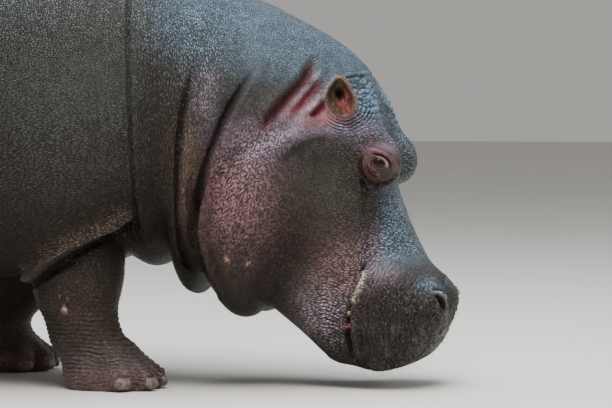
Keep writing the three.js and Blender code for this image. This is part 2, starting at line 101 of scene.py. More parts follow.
# Rounded forms of the trunk, head and throat on the left side: centre, radii, and the
# degrees that the front is tilted down.
HAUNCH = ((-0.920, 0.235, 0.590), (0.265, 0.205, 0.345), -12)
SHOULDER = ((0.300, 0.250, 0.680), (0.210, 0.232, 0.370), 4)
THROAT_FOLD = ((0.500, 0, 0.600), (0.112, 0.392, 0.300), 2)
SECOND_FOLD = ((0.617, 0, 0.530), (0.070, 0.340, 0.300), 4)
CHEEK = ((0.985, 0.105, 0.310), (0.092, 0.066, 0.110), -10)
EAR_ROOT = ((0.985, 0.175, 0.715), (0.045, 0.036, 0.045))
# The same, with the width over which each is rounded into those before it.
JOWL_FORMS = (
    ((0.740, 0.100, 0.326), (0.084, 0.200, 0.150), -6, 0),
    ((0.782, 0.140, 0.468), (0.138, 0.205, 0.205), 20, 0.08),
    ((0.925, 0.110, 0.460), (0.145, 0.115, 0.200), 10, 0.08),
)
MUZZLE_FORMS = (
    ((1.117, 0.085, 0.169), (0.142, 0.124, 0.108), -42, 0),
    ((1.100, 0.098, 0.245), (0.085, 0.084, 0.100), 10, 0.07),
    ((1.140, 0, 0.178), (0.104, 0.090, 0.106), -40, 0.06),
    ((1.205, 0.074, 0.224), (0.046, 0.046, 0.041), 0, 0.045),
)
# Bones of the head: both ends, the radius at each, and how much wider than high.
BROW_BONE = ((1.035, 0.096, 0.690), (1.078, 0.108, 0.600), 0.050, 0.048)
CHEEK_BONE = ((0.870, 0.205, 0.640), (1.045, 0.140, 0.640), 0.042, 0.034)
JAW_BONE = ((0.872, 0.078, 0.275), (1.000, 0.068, 0.128), 0.095, 0.066, 1.4)

EAR = np.array((1.012, 0.205, 0.737))
EAR_RADII = (0.038, 0.034, 0.053)
EAR_TURN = 12
EAR_LEAN = -3
EAR_SKEW = 0.20               # how much lower the ear's outline is toward the front
NOSTRIL = np.array((1.2510, 0.1090, 0.2180))
TAIL = ((-1.215, 0.980), (-1.272, 0.900), (-1.292, 0.780), (-1.296, 0.650))
TAIL_RADII = (0.058, 0.046, 0.034, 0.020)
TAIL_THICKNESS = 0.62

# The frame's origin is under the middle of the animal's length; these measures run
# from a point behind that, found from where the eye is.
eye_low, eye_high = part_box("eye_l")
ORIGIN = np.array(((eye_low[0] + eye_high[0]) / 2 - EYE[0], 0.0, 0.0))

# -------------------------------------------------------------- field functions

FAR_OFF = 9.0                 # more than any distance measured here


def ramp(value, low, high):
    """0 below low, 1 above high, smooth between."""
    t = np.clip((value - low) / (high - low), 0, 1)
    return t * t * (3 - 2 * t)


def bump(value, middle, width):
    return np.exp(-((value - middle) / width) ** 2)


def waves(value, rows):
    """A profile added up from bumps, each of a height, a middle and a width."""
    return sum(height * bump(value, middle, width) for height, middle, width in rows)


def blend(a, b, k):
    """The union of two distances, rounded where they meet over a width k."""
    overlap = np.maximum(k - np.abs(a - b), 0) / k
    return np.minimum(a, b) - overlap * overlap * k / 4


def ellipsoid(p, centre, radii, tilt=0):
    """Distance to an ellipsoid whose front is tilted down by some degrees."""
    q = p - np.array(centre, p.dtype)
    if tilt:
        cos, sin = math.cos(math.radians(tilt)), math.sin(math.radians(tilt))
        q = np.stack((q[:, 0] * cos - q[:, 2] * sin, q[:, 1], q[:, 0] * sin + q[:, 2] * cos), 1)
    r = np.array(radii, p.dtype)
    scaled = np.sqrt(((q / r) ** 2).sum(1))
    steep = np.sqrt(((q / (r * r)) ** 2).sum(1)) + 1e-9
    return scaled * (scaled - 1) / steep


def bone(p, a, b, ra, rb, wide=1.0):
    """Distance to a bone from a to b of radius ra to rb, stretched sideways by wide."""
    a, b = np.array(a, p.dtype), np.array(b, p.dtype)
    along = b - a
    q = p - a
    share = np.clip(q @ along / (along @ along), 0, 1)
    q = q - share[:, None] * along
    q[:, 1] /= wide
    return np.sqrt((q * q).sum(1)) - (ra + (rb - ra) * share)


def catmull_rom(rows, place):
    """Values between the rows at fractional places, smooth through each row."""
    last = len(rows) - 1
    i = np.clip(np.floor(place).astype(int), 0, last - 1)
    t = (place - i)[:, None].astype(rows.dtype)
    a, b, c, d = (rows[np.clip(i + k, 0, last)] for k in (-1, 0, 1, 2))
    square = (2 * a - 5 * b + 4 * c - d) * t * t
    cube = (3 * b - a - 3 * c + d) * t ** 3
    return 0.5 * (2 * b + (c - a) * t + square + cube)


def torso(p):
    """The body and head as one form swept through the sections."""
    rows = SECTIONS.astype(p.dtype)
    x, y, z = p.T
    up = rows[:, 0:2] - rows[:, 2:4]
    up /= np.linalg.norm(up, axis=1)[:, None]
    ahead = [(x - r[2]) * u[1] - (z - r[3]) * u[0] for r, u in zip(rows, up)]
    interval = np.zeros(len(p), int)
    climbing = np.ones(len(p), bool)
    for i in range(1, len(rows) - 1):
        climbing &= ahead[i] > 0
        interval[climbing] = i
    ahead = np.array(ahead)
    each = np.arange(len(p))
    behind = ahead[interval, each]
    before = -ahead[interval + 1, each]
    section = catmull_rom(rows, interval + np.clip(behind / (behind + before + 1e-9), 0, 1))
    middle = (section[:, 0:2] + section[:, 2:4]) / 2
    axis = section[:, 0:2] - section[:, 2:4]
    half_height = np.linalg.norm(axis, axis=1) / 2
    height = ((x - middle[:, 0]) * axis[:, 0] + (z - middle[:, 1]) * axis[:, 1]) / (2 * half_height)
    half_width = section[:, 4]
    sideways, upright = np.abs(y / half_width), np.abs(height / half_height)
    reach = (sideways ** GIRTH_POWER + upright ** GIRTH_POWER) ** (1 / GIRTH_POWER)
    girth = (reach - 1) * np.minimum(half_width, half_height)
    return np.maximum(girth, np.maximum(-ahead[0], ahead[-1]))


def joined(p, forms):
    """Ellipsoids rounded into each other in order."""
    d = ellipsoid(p, *forms[0][:3])
    for centre, radii, tilt, width in forms[1:]:
        d = blend(d, ellipsoid(p, centre, radii, tilt), width)
    return d


def head(p):
    """The throat's folds, jowls, cheeks, jaw, muzzle and brows. p has its y positive."""
    z = p[:, 2]
    folds = blend(ellipsoid(p, *THROAT_FOLD), ellipsoid(p, *SECOND_FOLD), 0.02 + 0.20 * ramp(z, 0.55, 0.85))
    d = blend(folds, joined(p, JOWL_FORMS), 0.02 + 0.16 * ramp(z, 0.60, 0.85))
    brow = blend(ellipsoid(p, BROW, BROW_RADII), bone(p, *BROW_BONE), 0.04)
    for form, width in (
            (bone(p, *CHEEK_BONE), 0.06),
            (bone(p, *JAW_BONE), 0.024),
            (ellipsoid(p, *CHEEK), 0.06),
            (joined(p, MUZZLE_FORMS), 0.03),
            (ellipsoid(p, *EAR_ROOT), 0.04),
            (brow, 0.04),
            (ear(p), 0.012)):
        d = blend(d, form, width)
    return d


def ear_axes():
    """The ear's forward, outward and upward directions on the left side."""
    turn, lean = math.radians(EAR_TURN), math.radians(EAR_LEAN)
    outward = np.array((math.sin(turn), math.cos(turn), 0.0))
    upward = np.array((math.sin(lean), 0.0, math.cos(lean)))
    upward -= outward * (upward @ outward)
    upward /= np.linalg.norm(upward)
    return np.cross(outward, upward), outward, upward


def ear_narrowing(upward):
    """The ear's width as a share of its widest, less toward its tip."""
    return 1 - 0.42 * ramp(upward, -0.012, 0.058)


def ear_frame(p):
    """Forward, outward and upward from the ear's middle, with its skewed outline made upright."""
    q = (p - EAR.astype(p.dtype)) @ np.array(ear_axes(), p.dtype).T
    q[:, 2] += EAR_SKEW * q[:, 0]
    return q


def ear(p):
    q = ear_frame(p)
    q[:, 0] /= ear_narrowing(q[:, 2])
    return ellipsoid(q, (0, 0, 0), EAR_RADII)


def nail_centre(leg, turn):
    """Where a toe's nail sits, for a toe turned from the foot's heading."""
    heading = math.radians(turn)
    reach = TOE_REACH[abs(turn)] + TOE_RADII[1] - 0.60 * NAIL_RADII[0]
    return np.array(on_foot(leg, reach * math.cos(heading), reach * math.sin(heading), NAIL_HEIGHT))


def on_foot(leg, forward, left, up):
    """A point of the sole's own frame in the animal's frame."""
    cos, sin = math.cos(math.radians(leg["turn"])), math.sin(math.radians(leg["turn"]))
    x, y = leg["sole"]
    return x + forward * cos - left * sin, y + forward * sin + left * cos, up


def limb(p, leg):
    wrist_radius, elbow_radius, top_radius = leg["radii"]
    shaft = blend(bone(p, leg["wrist"], leg["elbow"], wrist_radius, elbow_radius),
                  bone(p, leg["elbow"], leg["top"], elbow_radius, top_radius), 0.06)
    pad_x, pad_y, _ = on_foot(leg, -0.010, 0, 0)
    foot = blend(ellipsoid(p, (pad_x, pad_y, 0.030), PAD_RADII),
                 bone(p, leg["wrist"], on_foot(leg, -0.015, 0, 0.060), wrist_radius, 0.080), 0.05)
    for turn in TOE_TURNS:
        cos, sin = math.cos(math.radians(turn)), math.sin(math.radians(turn))
        reach = TOE_REACH[abs(turn)]
        tip = on_foot(leg, reach * cos, reach * sin, 0.030)
        foot = blend(foot, bone(p, on_foot(leg, 0.030 * cos, 0.045 * sin, 0.075), tip, *TOE_RADII), 0.022)
    return np.maximum(blend(shaft, foot, 0.04), -p[:, 2])


def tail(p):
    """Short bones end to end, narrower than they are deep."""
    d = np.full(len(p), FAR_OFF, p.dtype)
    for (ax, az), (bx, bz), ra, rb in zip(TAIL, TAIL[1:], TAIL_RADII, TAIL_RADII[1:]):
        d = blend(d, bone(p, (ax, 0, az), (bx, 0, bz), ra, rb, TAIL_THICKNESS), 0.03)
    return d


def blend_where(d, near, p, part, k):
    """Joins a part to the distances d, working it out only at the points near it."""
    if near.any():
        d[near] = blend(d[near], part(p[near]), k)
    return d


def hide_field(p):
    """Distance from points to the whole animal's skin, negative inside."""
    mirrored = np.stack((p[:, 0], np.abs(p[:, 1]), p[:, 2]), 1)
    d = torso(mirrored)
    haunches = (p[:, 0] < -0.55) & (p[:, 2] < 1.05)
    shoulders = (p[:, 0] > -0.05) & (p[:, 0] < 0.65)
    d = blend_where(d, haunches, mirrored, lambda q: ellipsoid(q, *HAUNCH), 0.12)
    d = blend_where(d, shoulders, mirrored, lambda q: ellipsoid(q, *SHOULDER), 0.10)
    d = blend_where(d, p[:, 0] > 0.20, mirrored, head, 0.03)
    for name, leg in LEGS.items():
        x, y = leg["sole"]
        near = (p[:, 2] < 0.80) & (np.abs(p[:, 0] - x) < 0.50) & (p[:, 1] * y > -0.05)
        width = 0.02 if name == "fr" else 0.035
        d = blend_where(d, near, p, lambda q, leg=leg: limb(q, leg), width)
    return blend_where(d, p[:, 0] < -1.05, p, tail, 0.04)


# ------------------------------------------------------------------ laying mesh

GRID = 0.010
BLOCK = 5                     # grid steps in a block of the first, rough pass
FIELD_LOW = np.array((-1.36, -0.624, -0.024))
FIELD_HIGH = np.array((1.33, 0.624, 1.32))
CORNERS = [(i, j, k) for i in (0, 1) for j in (0, 1) for k in (0, 1)]


def corner_slices(shape):
    """The eight views of a grid's values, one for each corner of its cells."""
    return [tuple(slice(o, n - 1 + o) for o, n in zip(corner, shape)) for corner in CORNERS]


def sample_near_surface(field, low, size):
    """Field values on a grid, worked out only in blocks that the surface may cross."""
    blocks = (size - 1) // BLOCK
    rough_axes = [low[i] + GRID * BLOCK * np.arange(blocks[i] + 1) for i in range(3)]
    rough_points = np.stack(np.meshgrid(*rough_axes, indexing="ij"), -1).reshape(-1, 3)
    rough = field(rough_points.astype(np.float32)).reshape(blocks + 1)
    corners = np.array([rough[s] for s in corner_slices(rough.shape)])
    active = (np.abs(corners).min(0) < 1.9 * GRID * BLOCK) | ((corners.min(0) < 0) & (corners.max(0) > 0))
    values = np.full(size, 1.0, np.float32)
    for axis in range(3):
        rough = np.repeat(rough, BLOCK, axis)
        active = np.repeat(active, BLOCK, axis)
    values[:-1, :-1, :-1] = rough[:size[0] - 1, :size[1] - 1, :size[2] - 1]
    needed = np.zeros(size, bool)
    for s in corner_slices(size):
        needed[s] |= active
    where = np.argwhere(needed)
    values[needed] = field((low + where * GRID).astype(np.float32))
    return values


def lay_mesh(field, low, high):
    """A closed mesh of quads on the zero of a field, one point in each cell it crosses."""
    size = (np.ceil((high - low) / GRID / BLOCK) * BLOCK).astype(int) + 1
    values = sample_near_surface(field, low, size)
    inside = values < 0
    count = sum(inside[s].astype(np.int8) for s in corner_slices(size))
    cells = np.argwhere((count > 0) & (count < 8))
    index = np.full(size - 1, -1, np.int32)
    index[tuple(cells.T)] = np.arange(len(cells))
    at_corner = {c: values[tuple((cells + c).T)] for c in CORNERS}
    total = np.zeros((len(cells), 3))
    crossings = np.zeros(len(cells))
    for corner in CORNERS:
        for axis in range(3):
            if corner[axis]:
                continue
            far = tuple(1 if i == axis else c for i, c in enumerate(corner))
            a, b = at_corner[corner], at_corner[far]
            crossed = (a < 0) != (b < 0)
            point = np.tile(np.array(corner, float), (len(cells), 1))
            point[:, axis] = np.where(crossed, a / (a - b + 1e-12), 0)
            total[crossed] += point[crossed]
            crossings[crossed] += 1
    points = low + (cells + total / crossings[:, None]) * GRID
    quads = []
    for axis in range(3):
        b, c = (axis + 1) % 3, (axis + 2) % 3
        start = [slice(1, n - 1) for n in size]
        start[axis] = slice(0, size[axis] - 1)
        end = list(start)
        end[axis] = slice(1, size[axis])
        here, there = inside[tuple(start)], inside[tuple(end)]
        for leaving, crossed in ((True, here & ~there), (False, ~here & there)):
            edges = np.argwhere(crossed)
            edges[:, b] += 1
            edges[:, c] += 1
            around = []
            for back_b, back_c in ((1, 1), (0, 1), (0, 0), (1, 0)):
                cell = edges.copy()
                cell[:, b] -= back_b
                cell[:, c] -= back_c
                around.append(index[tuple(cell.T)])
            quads.append(np.stack(around if leaving else around[::-1], 1))
    return points, np.concatenate(quads)


def mesh_from(name, points, faces):
    """A Blender mesh from arrays of points and same-sided faces."""
    mesh = bpy.data.meshes.new(name)
    sides = faces.shape[1]
    mesh.vertices.add(len(points))
    mesh.vertices.foreach_set("co", points.astype(np.float32).ravel())
    mesh.loops.add(faces.size)
    mesh.loops.foreach_set("vertex_index", faces.astype(np.int32).ravel())
    mesh.polygons.add(len(faces))
    mesh.polygons.foreach_set("loop_start", np.arange(0, faces.size, sides, dtype=np.int32))
    mesh.update(calc_edges=True)
    mesh.validate()
    return mesh


def read_vectors(rows, name):
    """One kind of vector from a part of a mesh, as an array of three columns."""
    values = np.empty(3 * len(rows), np.float32)
    rows.foreach_get(name, values)
    return values.reshape(-1, 3)


def mesh_points(mesh):
    return read_vectors(mesh.vertices, "co")


def mesh_normals(mesh):
    return read_vectors(mesh.vertex_normals, "vector")


def refine(mesh, wanted):
    """Splits in two, each way, the faces whose middles a test wants finer."""
    chosen = np.nonzero(wanted(read_vectors(mesh.polygons, "center")))[0]
    work = bmesh.new()
    work.from_mesh(mesh)
    work.faces.ensure_lookup_table()
    edges = list({edge for i in chosen for edge in work.faces[i].edges})
    bmesh.ops.subdivide_edges(work, edges=edges, cuts=1, use_grid_fill=True)
    work.to_mesh(mesh)
    work.free()


def move_points(mesh, points):
    mesh.vertices.foreach_set("co", points.astype(np.float32).ravel())
    mesh.update()


def shade_smooth(mesh):
    mesh.polygons.foreach_set("use_smooth", np.ones(len(mesh.polygons), bool))


# ------------------------------------------------------------------------ noise


def lattice_value(i, j, k, seed):
    """A repeatable value from 0 to 1 at each whole point of space."""
    h = (i * 374761393 + j * 668265263 + k * 1440662683 + seed * 362437).astype(np.uint32)
    h = (h ^ (h >> np.uint32(13))) * np.uint32(1274126177)
    h ^= h >> np.uint32(16)
    return (h & np.uint32(0xFFFFFF)) / np.float32(0xFFFFFF)


def noise(p, size, seed):
    """Smooth noise from -1 to 1 whose lumps are about size across."""
    q = p / size
    cell = np.floor(q).astype(np.int64)
    t = q - cell
    t = t * t * (3 - 2 * t)
    total = 0
    for di, dj, dk in CORNERS:
        weight = (np.where(di, t[:, 0], 1 - t[:, 0]) * np.where(dj, t[:, 1], 1 - t[:, 1])
                  * np.where(dk, t[:, 2], 1 - t[:, 2]))
        total = total + weight * lattice_value(cell[:, 0] + di, cell[:, 1] + dj, cell[:, 2] + dk, seed)
    return 2 * total - 1


def pebbles(p, size, seed):
    """Rounded stones about size across with creases between: 0 in a crease, 1 on top."""
    q = p / size
    cell = np.floor(q).astype(np.int64)
    nearest = np.full(len(p), FAR_OFF)
    second = np.full(len(p), FAR_OFF)
    for step in np.ndindex(3, 3, 3):
        c = cell + np.array(step) - 1
        place = np.stack([lattice_value(*c.T, seed + s) for s in (1, 2, 3)], 1)
        distance = np.sqrt(((c + 0.15 + 0.7 * place - q) ** 2).sum(1))
        second = np.minimum(second, np.maximum(nearest, distance))
        nearest = np.minimum(nearest, distance)
    return np.sqrt(np.clip((second - nearest) / 0.7, 0, 1))


def wrinkles(phase, width):
    """Narrow grooves, 1 at their bottom, one for each whole number of phase."""
    return np.exp(-(np.sin(np.pi * phase) / width) ** 2)


# -------------------------------------------------------------- folds and lines

# Lines seen from the side (x, z), drawn alike on both sides of the animal.
SHOULDER_CREASE = ((0.488, 1.095), (0.506, 0.969), (0.516, 0.891), (0.522, 0.805), (0.528, 0.682),
                   (0.527, 0.533), (0.521, 0.457), (0.512, 0.400), (0.508, 0.340))
NECK_FOLD = ((0.680, 0.860), (0.666, 0.788), (0.645, 0.667), (0.627, 0.528), (0.622, 0.424),
             (0.624, 0.300))
JOWL_FOLD = ((0.822, 0.830), (0.774, 0.743), (0.743, 0.681), (0.697, 0.566), (0.667, 0.479),
             (0.658, 0.394), (0.679, 0.306), (0.712, 0.235))
EAR_FOLDS = (
    ((0.943, 0.850), (0.936, 0.815), (0.925, 0.778), (0.882, 0.725), (0.834, 0.668), (0.812, 0.640)),
    ((0.962, 0.785), (0.944, 0.752), (0.915, 0.713), (0.886, 0.688)),
    ((0.978, 0.728), (0.958, 0.704), (0.937, 0.684)),
)
EAR_RIDGES = (
    ((0.950, 0.815), (0.930, 0.765), (0.895, 0.710), (0.855, 0.668)),
    ((0.970, 0.758), (0.943, 0.716), (0.911, 0.681), (0.885, 0.655)),
)
CHEEK_RIDGE = ((0.880, 0.622), (0.917, 0.638), (0.963, 0.649), (1.009, 0.661), (1.055, 0.645))
JOWL_RIDGE = ((0.925, 0.668), (0.885, 0.645), (0.840, 0.625), (0.800, 0.585))
CHEEK_HOLLOW = ((0.990, 0.640), (0.945, 0.627), (0.900, 0.600), (0.870, 0.570))
CHEEK_LINE = ((1.052, 0.545), (1.060, 0.520), (1.066, 0.490), (1.066, 0.441), (1.071, 0.403),
              (1.071, 0.366), (1.068, 0.335), (1.058, 0.300))
TEAR_LINE = ((1.090, 0.527), (1.086, 0.508), (1.088, 0.478))
MOUTH_LINE = ((1.062, 0.315), (1.050, 0.275), (1.034, 0.235), (1.026, 0.190), (1.024, 0.136),
              (1.032, 0.095), (1.050, 0.060), (1.080, 0.020))
ARM_FOLD = ((0.190, 0.245), (0.255, 0.272), (0.328, 0.322), (0.406, 0.362), (0.458, 0.388),
            (0.530, 0.432))
ELBOW_FOLD = ((0.270, 0.268), (0.302, 0.293), (0.354, 0.318), (0.400, 0.336))
BROW_CREASE = ((1.004, 0.783), (1.026, 0.790), (1.050, 0.789))


def line_distance(p, line):
    """Distance in the side view to a line, less than 0 on its right as it is drawn, and
    how far along it as a share of it."""
    points = np.array(line)
    steps = np.linalg.norm(np.diff(points, axis=0), axis=1)
    starts = np.concatenate(((0,), np.cumsum(steps)))
    best = np.full(len(p), FAR_OFF)
    side = np.ones(len(p))
    share = np.zeros(len(p))
    flat = p[:, (0, 2)]
    for a, b, start, step in zip(points, points[1:], starts, steps):
        t = np.clip((flat - a) @ (b - a) / step ** 2, 0, 1)
        distance = np.linalg.norm(flat - a - t[:, None] * (b - a), axis=1)
        closer = distance < best
        best[closer] = distance[closer]
        cross = (b - a)[0] * (flat[:, 1] - a[1]) - (b - a)[1] * (flat[:, 0] - a[0])
        side[closer] = np.where(cross[closer] < 0, -1, 1)
        share[closer] = ((start + step * t) / starts[-1])[closer]
    return best * side, share


def ends(share, start, end):
    """1 along a line, fading over a share of its length at its start and its end."""
    return ramp(share, -0.01, start) * ramp(1 - share, -0.01, end)


def crease(p, line, width):
    """1 in the bottom of a crease along a line."""
    distance, share = line_distance(p, line)
    return bump(distance, 0, width) * ends(share, 0.2, 0.2)


def groove(p, line, width, depth, start=0.2, end=0.2, over=0):
    """How far a crease moves the skin: down along the line and up in lips beside it. The
    skin on one side (over 1 or -1) can overhang the other."""
    distance, share = line_distance(p, line)
    if over:
        across = distance * over
        lift = (0.50 * bump(across, 2.0 * width, 1.3 * width) - bump(across, 0, width)
                - 0.35 * bump(across, -2.2 * width, 2.2 * width))
    else:
        lift = 0.30 * bump(np.abs(distance), 2.1 * width, 1.1 * width) - bump(distance, 0, width)
    return ends(share, start, end) * depth * lift


def patch(p, centre, radii):
    """1 at a centre, fading smoothly to nothing beyond the radii."""
    return np.exp(-(((p - np.array(centre)) / np.array(radii)) ** 2).sum(1))


def distance_from(p, place):
    return np.linalg.norm(p - place, axis=1)


def in_axes(p, centre, axes):
    return ((p - centre) @ np.array(axes).T).T


def unit(*v):
    v = np.array(v, float)
    return v / np.linalg.norm(v)


def eye_axes():
    """Forward, outward and upward at the left eye, which faces out and a little ahead."""
    outward = unit(0.20, 1.0, 0.02)
    forward = unit(1.0, -0.20, 0.0)
    return forward, outward, np.cross(forward, outward)


LID_TILT = math.radians(-26)
LID_HALF_WIDTH = 0.0155
LID_HALF_HEIGHT = 0.0092


def lid_ring(forward, upward):
    """1 on the edge of the lids' opening, a tilted oval, and growing outward from it."""
    along = forward * math.cos(LID_TILT) + upward * math.sin(LID_TILT)
    across = upward * math.cos(LID_TILT) - forward * math.sin(LID_TILT)
    return np.hypot(along / LID_HALF_WIDTH, across / LID_HALF_HEIGHT)


def facing(forward, upward, degrees, spread):
    """1 in the direction of an angle round the eye or ear, 0 beyond its spread (a cosine)."""
    angle = np.arctan2(upward, forward) - math.radians(degrees)
    return ramp(np.cos(angle), 1 - spread, 1 - 0.4 * spread)


def nostril_axes():
    """Down the nostril, out of it, and across it toward the nose's middle."""
    outward = unit(0.88, 0.47, 0.03)
    down = unit(0.31, -0.63, -0.71)
    down = unit(*(down - outward * (down @ outward)))
    return down, outward, np.cross(down, outward)


def nostril_shape(p):
    """Depth inside the nostril's half-moon opening (less than 0 outside it), how far along
    and across it a point is, and 1 near it."""
    down, _, across = in_axes(p, NOSTRIL, nostril_axes())
    bow = 1 - (down / 0.034) ** 2
    across = across - 0.0035 * bow
    inside = 0.0120 * bow - np.abs(across)
    near = ramp(0.048 - distance_from(p, NOSTRIL), 0, 0.012)
    return np.maximum(inside, -0.1), down, across, near


# ----------------------------------------------------------------------- relief

# Profiles across the lids and the folds round the eye: the height, middle and width of each
# bump. The lids' run over the ring round their opening, the others over metres from the eye.
UPPER_LID = ((0.0040, 1.45, 0.24), (-0.0060, 2.05, 0.18), (0.0046, 2.80, 0.50), (-0.0014, 3.6, 0.25))
LOWER_LID = ((0.0010, 1.30, 0.20), (-0.0010, 1.65, 0.15))
CORNER_FOLDS = ((-0.0020, 0.0225, 0.0013), (0.0014, 0.0265, 0.0018), (-0.0020, 0.0305, 0.0013),
                (0.0014, 0.0345, 0.0018), (-0.0018, 0.0385, 0.0013))
FOLD_BELOW = ((-0.0080, 0.0475, 0.0042), (0.0030, 0.0400, 0.0050))
# How far the skin stands off the eyeball's surface at some rings round the opening.
LID_RINGS = (0.66, 0.78, 0.98, 1.10, 1.28, 1.50)
LID_HEIGHTS = (-0.007, -0.007, 0.0000, 0.0016, 0.0026, 0.0030)

# Grooves: their line, width and depth, the shares of their length over which they fade at
# their start and end, and the side that overhangs the other, or 0 for neither.
FACE_GROOVES = (
    (SHOULDER_CREASE, 0.0050, 0.0075, 0.12, 0.08, -1),
    (NECK_FOLD, 0.0070, 0.020, 0.30, 0.03, 1),
    (JOWL_FOLD, 0.0070, 0.021, 0.22, 0.03, 1),
    (EAR_FOLDS[0], 0.0120, 0.020, 0.25, 0.35, 0),
    (EAR_FOLDS[1], 0.0100, 0.012, 0.25, 0.35, 0),
    (EAR_FOLDS[2], 0.0075, 0.014, 0.25, 0.35, 0),
    (CHEEK_HOLLOW, 0.022, 0.006, 0.3, 0.4, 1),
    (CHEEK_LINE, 0.0042, 0.010, 0.10, 0.15, 1),
    (TEAR_LINE, 0.0035, 0.004, 0.2, 0.2, 0),
)
ARM_GROOVES = (
    (ARM_FOLD, 0.010, 0.026, 0.10, 0.10, 1),
    (ELBOW_FOLD, 0.007, 0.010, 0.3, 0.3, 0),
)
ARM_SHIFTS = {"fr": 0.0, "fl": -0.235}      # how far ahead of the lines each foreleg's are
TOE_GAPS = (-37, 0, 37)                     # degrees from the foot's heading
# Areas of wrinkles and lumps: their middle on the left side, but the elbow's is the near one,
# and how far they reach each way.
NEAR_ELBOW = ((0.345, -0.34, 0.235), (0.045, 0.10, 0.055))
POLL = ((1.075, 0.13, 0.745), (0.050, 0.16, 0.062))
NOSE_LUMPS = ((1.200, 0.11, 0.205), (0.060, 0.10, 0.065))
BEHIND_MOUTH = ((0.985, 0.17, 0.190), (0.055, 0.12, 0.095))
UPPER_LIP = ((1.085, 0.16, 0.300), (0.050, 0.10, 0.095))
WRINKLE_MEAN = 0.38           # taken off wrinkles so that they cut in and swell out alike


def mirror_left(p):
    return np.stack((p[:, 0], np.abs(p[:, 1]), p[:, 2]), 1).astype(float)


def directions(outward_left, p):
    """A left-side direction for every point, mirrored on the right side."""
    vectors = np.tile(outward_left, (len(p), 1))
    vectors[:, 1] *= np.where(p[:, 1] < 0, -1, 1)
    return vectors


def eye_folds(q):
    """The heavy lids' lips and the nested folds round the eye."""
    forward, outward, upward = in_axes(q, EYE, eye_axes())
    ring = lid_ring(forward, upward)
    above = facing(forward, upward, 50, 1.0)
    low = np.hypot(forward, (upward + 0.004) / 1.04)
    behind = facing(forward, upward + 0.004, 200, 0.9)
    beneath = facing(forward, upward + 0.004, 235, 1.1)
    uneven = 1 + 0.5 * noise(q, 0.016, 71)
    lift = above * waves(ring, UPPER_LID)
    lift += (1 - above) * waves(ring, LOWER_LID)
    lift += uneven * behind * waves(low, CORNER_FOLDS)
    lift += beneath * waves(low, FOLD_BELOW)
    lift += 0.0012 * (1 - above) * ramp(ring, 1.4, 2.2) * noise(q, 0.0065, 72)
    return lift * ramp(outward, -0.045, -0.020)


def lay_lids(q, p, points):
    """Opens the lids over the eyeball: inside the opening the skin goes behind the ball."""
    forward, outward, upward = in_axes(q, EYE, eye_axes())
    ring = lid_ring(forward, upward)
    from_ball = q - EYE
    reach = np.linalg.norm(from_ball, axis=1)
    lid = EYE_RADIUS + np.interp(ring, LID_RINGS, LID_HEIGHTS)
    hold = ramp(1.9 - ring, 0.0, 0.7) * ramp(outward, 0, 0.004)
    change = (from_ball / reach[:, None]) * (hold * (lid - reach))[:, None]
    change[:, 1] *= np.where(p[:, 1] < 0, -1, 1)
    return points + change


def ear_place(q):
    """Forward, outward and upward on the ear, and 1 on its pointed outline."""
    forward, outward, upward = ear_frame(q).T
    width = EAR_RADII[0] * ear_narrowing(upward)
    return forward, outward, upward, np.hypot(forward / width, upward / EAR_RADII[2])


def ear_cup(q, p, normals):
    """Hollows the ear to a thin-edged cup with a deep hole and ridges running down."""
    forward, outward, upward, ring = ear_place(q)
    way_out = directions(ear_axes()[1], p)
    outer = (normals * way_out).sum(1)
    here = ramp(outer, -0.10, 0.10) * ramp(outward, -0.004, 0.004) * ramp(1.06 - ring, 0, 0.06)
    floor = 0.0125 - 0.020 * ramp(0.92 - ring, 0.0, 0.34)
    floor -= 0.024 * np.exp(-((forward + 0.003) / 0.0085) ** 2 - ((upward - 0.006) / 0.015) ** 2)
    low = ramp(-upward, -0.014, 0.012) * ramp(0.88 - ring, 0, 0.2)
    floor += 0.0032 * low * np.sin(forward / 0.0019 + 2.5 * noise(q, 0.02, 3))
    ahead = ramp(forward, 0.004, 0.012) * ramp(0.9 - ring, 0, 0.15)
    floor += 0.0040 * ahead + 0.0016 * ahead * noise(q, 0.006, 4)
    drop = np.minimum(floor - outward, 0)
    return (here * drop)[:, None] * way_out


def nostril_relief(q):
    """The nostril's hollow, the thick flap on its middle side and the crease round that."""
    inside, down, across, near = nostril_shape(q)
    middle_side = ramp(across, -0.002, 0.004)
    upper = ramp(-down, -0.020, 0.012)
    lift = -0.026 * ramp(inside, -0.001, 0.0080)
    lift += 0.0075 * bump(inside, -0.0055, 0.0045) * middle_side * (0.35 + 0.65 * upper)
    lift += 0.0030 * bump(inside, -0.0060, 0.0045) * (1 - middle_side)
    lift -= 0.0050 * bump(inside, -0.0165, 0.0040) * middle_side
    return near * lift


def mouth_parting(share):
    """1 along the mouth where the lips part, 0 where they meet."""
    return bump(share, 0.56, 0.17)


def mouth_relief(q):
    """The slit between the lips, wider where they part, and the roll of each lip."""
    distance, share = line_distance(q, MOUTH_LINE)
    side = ramp(q[:, 1], 0.02, 0.06)
    parted = mouth_parting(share)
    width = 0.0048 + 0.0048 * parted
    slit = -(0.014 + 0.022 * parted) * np.exp(-((distance + 0.002 * parted) / width) ** 2)
    upper_lip = 0.0085 * bump(distance, 0.013, 0.0095)
    lower_lip = 0.0040 * bump(distance, -0.017, 0.0080)
    inside = (q[:, 2] < 0.345) & (q[:, 0] > 0.95)
    upright = ramp(0.345 - q[:, 2], 0, 0.05) * ramp(q[:, 2], 0.045, 0.11)
    return np.where(inside, (slit + upper_lip + lower_lip) * upright, 0) * (0.35 + 0.65 * side)


def fold_relief(q):
    return sum(groove(q, *row) for row in FACE_GROOVES) * ramp(q[:, 1], 0.08, 0.18)


